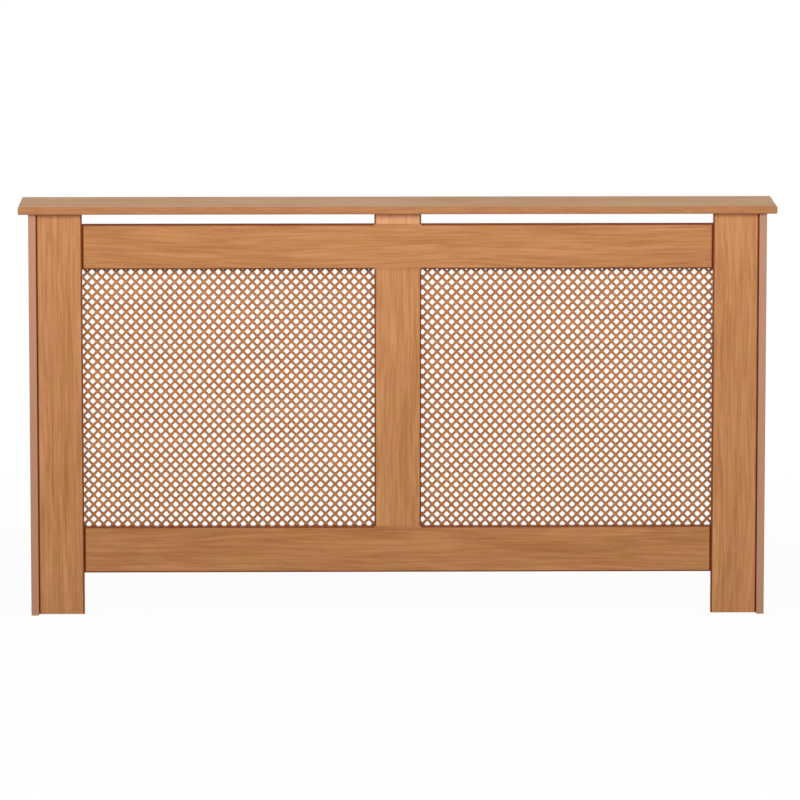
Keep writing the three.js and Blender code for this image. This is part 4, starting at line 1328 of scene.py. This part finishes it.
def clip_spot(node):
    """Where a clip sits on its sheet's edge, across and up, and its turn from a clip at the top."""
    side, _, _, edge, *_ = node.split("_")
    sheet_low, sheet_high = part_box(f"{side}_grille")
    low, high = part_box(node)
    middle = (low + high) / 2
    if edge == "top":
        return middle.x, sheet_high.z, 0
    if edge == "bottom":
        return middle.x, sheet_low.z, pi
    if abs(middle.x - sheet_low.x) < abs(middle.x - sheet_high.x):
        return sheet_low.x, middle.z, -pi / 2
    return sheet_high.x, middle.z, pi / 2


# ---------------------------------------------------------------- wall brackets


THROUGH = 0.004  # how far a cutter reaches behind the face it enters, past a bracket's steel
PROUD = 0.001  # how far a cutter stands out of the face it enters

def bracket_outline(panel_x, wall_y, sign, leg):
    """The bent angle from above: one leg on the side panel and one on the wall."""
    sizes = settings().fixings
    wall, bend = sizes.bracket_thickness, sizes.bracket_bend
    inner = bend - wall
    steps = settings().boards.round_steps
    points = [(0, leg)]
    for i in range(steps + 1):
        angle = i / steps * pi / 2
        points.append((bend - bend * cos(angle), bend - bend * sin(angle)))
    points += [(leg, 0), (leg, wall)]
    for i in range(steps + 1):
        angle = (1 - i / steps) * pi / 2
        points.append((bend - inner * cos(angle), bend - inner * sin(angle)))
    points.append((wall, leg))
    return [(panel_x - sign * u, wall_y - v) for u, v in points]


class CABINET_OT_wall_brackets(Operator):
    """Makes the two steel wall brackets and their screws"""
    bl_idname = "cabinet.wall_brackets"
    bl_label = "Wall brackets"

    def execute(self, context):
        sizes = settings().fixings
        lines = []
        for side, sign in SIDES.items():
            node = f"{side}_wall_bracket"
            low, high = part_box(node)
            panel_x = high.x if sign > 0 else low.x
            bm = prism(bracket_outline(panel_x, high.y, sign, high.y - low.y), 2, low.z, high.z)
            ends = [edge for edge in bm.edges if is_leg_end(edge, low, high, sign)]
            bmesh.ops.bevel(bm, geom=ends, offset=sizes.bracket_corner, segments=5, profile=0.5,
                            affect="EDGES")
            piece = piece_from(bm, f"{side}_bent_bracket", plated_steel(), plated_steel())
            middle_z = (low.z + high.z) / 2
            for from_panel in (sizes.wall_hole_near, sizes.wall_hole_far):
                x = panel_x - sign * from_panel
                cut_bore(piece, Vector((x, high.y - THROUGH, middle_z)),
                         Vector((x, high.y + PROUD, middle_z)), sizes.bracket_hole)
            for screw in (f"{side}_bracket_screw_1", f"{side}_bracket_screw_2"):
                start, end, head = axis_ends(screw, Vector())
                cut_with(piece, countersink(start, end, head))
                lines.append(line_along(start, end, screw_stations(start, end, head)))
            smooth_over(piece.data)
            hand_over(piece, "plated_steel", node)
        screws = turned_piece("bracket_screws", lines, passivated_steel(), sides=32,
                              recess_length=0.004, recess_width=0.0009, recess_depth=0.0012)
        hand_over(screws, "plated_steel", *SCREWS)
        return {"FINISHED"}


def is_leg_end(edge, low, high, sign):
    """Whether an edge crosses the steel at the end of one of the bracket's legs."""
    along = edge.verts[1].co - edge.verts[0].co
    middle = (edge.verts[0].co + edge.verts[1].co) / 2
    wall_end = low.x if sign > 0 else high.x
    thin = along.length < settings().fixings.bracket_thickness * 1.1
    at_wall_end = abs(middle.x - wall_end) < TOUCH
    at_panel_end = abs(middle.y - low.y) < TOUCH
    return thin and (at_wall_end or at_panel_end)


def screw_stations(start, end, head):
    """The stations of a countersunk wood screw, from its head to its point."""
    sizes = settings().fixings
    whole = (end - start).length
    shank = sizes.screw_shank
    thread_end = whole - sizes.screw_tip
    return [
        (0, head * 0.97), (0.00012, head), (sizes.screw_head_height, shank * 0.82),
        *thread(sizes.screw_head_height + 0.0006, thread_end, shank * 0.74, shank, sizes.thread_pitch),
        (whole, shank * 0.08)]


def countersink(start, end, head):
    """The cutter for a screw's hole in the bracket: a cone for the head and a bore beyond it."""
    sizes = settings().fixings
    slack, sides = settings().boards.bore_slack, settings().boards.bore_sides
    turn = upright_onto(end - start)
    wide, narrow = head + slack, sizes.screw_shank + slack
    rings = []
    for distance, radius in ((-PROUD, wide), (0, wide), (sizes.screw_head_height, narrow),
                             (THROUGH, narrow)):
        ring = []
        for i in range(sides):
            angle = i / sides * 2 * pi
            local = Vector((radius * cos(angle), radius * sin(angle), distance))
            ring.append(start + turn @ local)
        rings.append(ring)
    return piece_from(through_rings(rings), "cutter")


# ---------------------------------------------------------------- stage


FLOOR_REACH = 30.0  # from the floor's middle to its sides

def world_light():
    """Even light all round. What the camera, reflections and glass see of it is plain white."""
    world = bpy.data.worlds.new("studio")
    bpy.context.scene.world = world
    tree = bare_tree(world)
    seen = seen_directly(tree)
    span = maths(tree, "SUBTRACT", 1.0, settings().stage.sky)
    strength = maths(tree, "MULTIPLY_ADD", seen, span, settings().stage.sky)
    background = put(tree, "ShaderNodeBackground", {"Color": (1, 1, 1, 1), "Strength": strength})
    put(tree, "ShaderNodeOutputWorld", {"Surface": background.outputs[0]})
    arrange(tree)


def seen_directly(tree):
    """1 for rays from the camera, a reflection or glass, and 0 for light that falls on things."""
    path = put(tree, "ShaderNodeLightPath").outputs
    mirrored = maths(tree, "MAXIMUM", path["Is Camera Ray"], path["Is Glossy Ray"])
    return maths(tree, "MAXIMUM", mirrored, path["Is Transmission Ray"])


def floor_material():
    """A pale floor with the cabinet's shadow, which turns plain white away from the cabinet."""
    stage = settings().stage
    made = bpy.data.materials.new("studio_floor")
    tree = bare_tree(made)
    coordinates = put(tree, "ShaderNodeTexCoord").outputs["Object"]
    distance = put(tree, "ShaderNodeVectorMath", {0: coordinates}, operation="LENGTH").outputs["Value"]
    whiteness = spread(tree, distance, stage.white_near, stage.white_far, stage.floor_white, 1.0)
    mottle = noise(tree, stretch(tree, coordinates, (3.0, 3.0, 3.0)), 0.0, 3.0)
    paint = blend(tree, mottle, (0.74, 0.74, 0.74, 1), (0.76, 0.76, 0.755, 1))
    lit = put(tree, "ShaderNodeBsdfPrincipled", {"Base Color": paint, "Roughness": 0.9})
    white = put(tree, "ShaderNodeEmission", {"Color": (1, 1, 1, 1), "Strength": 1.0})
    share = maths(tree, "MULTIPLY", seen_directly(tree), whiteness)
    mixed = put(tree, "ShaderNodeMixShader", {0: share, 1: lit.outputs[0], 2: white.outputs[0]})
    put(tree, "ShaderNodeOutputMaterial", {"Surface": mixed.outputs[0]})
    arrange(tree)
    return made


def soft_lamp(name, power, width, height, place, target):
    """A large rectangular lamp that faces a point."""
    light = bpy.data.lights.new(name, "AREA")
    light.shape = "RECTANGLE"
    light.energy, light.size, light.size_y = power, width, height
    lamp = bpy.data.objects.new(name, light)
    lamp.location = place
    lamp.rotation_euler = (Vector(target) - Vector(place)).to_track_quat("-Z", "Y").to_euler()
    bpy.context.scene.collection.objects.link(lamp)


class CABINET_OT_stage(Operator):
    """Makes the floor, the lamps, the even light and the camera"""
    bl_idname = "cabinet.stage"
    bl_label = "Stage"

    def execute(self, context):
        stage = settings().stage
        scene = context.scene
        world_light()
        bm = bmesh.new()
        bmesh.ops.create_grid(bm, x_segments=1, y_segments=1, size=FLOOR_REACH)
        floor = piece_from(bm, "studio_floor", floor_material())
        floor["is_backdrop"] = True
        soft_lamp("key_lamp", stage.key, width=4.4, height=0.7, place=(-0.05, -1.3, 1.32),
                  target=(0, 0, 0.6))
        soft_lamp("back_lamp", stage.fill, width=3.0, height=0.7, place=(0.5, 2.6, 0.45),
                  target=(0, 0, 0.4))
        camera = bpy.data.cameras.new("camera")
        camera.lens = stage.camera_lens
        camera.sensor_width = 36.0
        camera.clip_end = 100.0
        view = bpy.data.objects.new("camera", camera)
        view.location = stage.camera_place
        view.rotation_euler = (pi / 2 - stage.camera_dip, 0, -stage.camera_turn)
        scene.collection.objects.link(view)
        scene.camera = view
        scene.view_settings.view_transform = "Standard"
        return {"FINISHED"}


# ---------------------------------------------------------------- the add-on


PIECES = (
    CABINET_OT_shelf, CABINET_OT_side_panels, CABINET_OT_front_posts, CABINET_OT_front_frame,
    CABINET_OT_grilles, CABINET_OT_dowels, CABINET_OT_cam_locks, CABINET_OT_grille_clips,
    CABINET_OT_wall_brackets,
)


class CABINET_PT_parts(Panel):
    """Lists the cabinet's pieces and its stage"""
    bl_idname = "CABINET_PT_parts"
    bl_label = "Radiator Cover Cabinet"
    bl_space_type = "VIEW_3D"
    bl_region_type = "UI"
    bl_category = "Cabinet"

    def draw(self, context):
        column = self.layout.column()
        for operator in PIECES + (CABINET_OT_stage,):
            column.operator(operator.bl_idname)


CLASSES = (
    CabinetBoards, CabinetColours, CabinetGrille, CabinetFixings, CabinetStage, CabinetSettings,
    *PIECES, CABINET_OT_stage, CABINET_PT_parts,
)


def register():
    for made in CLASSES:
        bpy.utils.register_class(made)
    bpy.types.Scene.radiator_cover = PointerProperty(type=CabinetSettings)


def unregister():
    del bpy.types.Scene.radiator_cover
    for made in reversed(CLASSES):
        bpy.utils.unregister_class(made)


def main():
    register()
    bpy.ops.cabinet.shelf()
    bpy.ops.cabinet.side_panels()
    bpy.ops.cabinet.front_posts()
    bpy.ops.cabinet.front_frame()
    bpy.ops.cabinet.grilles()
    bpy.ops.cabinet.dowels()
    bpy.ops.cabinet.cam_locks()
    bpy.ops.cabinet.grille_clips()
    bpy.ops.cabinet.wall_brackets()
    bpy.ops.cabinet.stage()
    boxes = {"cad": CAD_BOX, "visual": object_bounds()}
    {name: [list(corner) for corner in box] for name, box in boxes.items()}


if __name__ == "__main__":
    main()
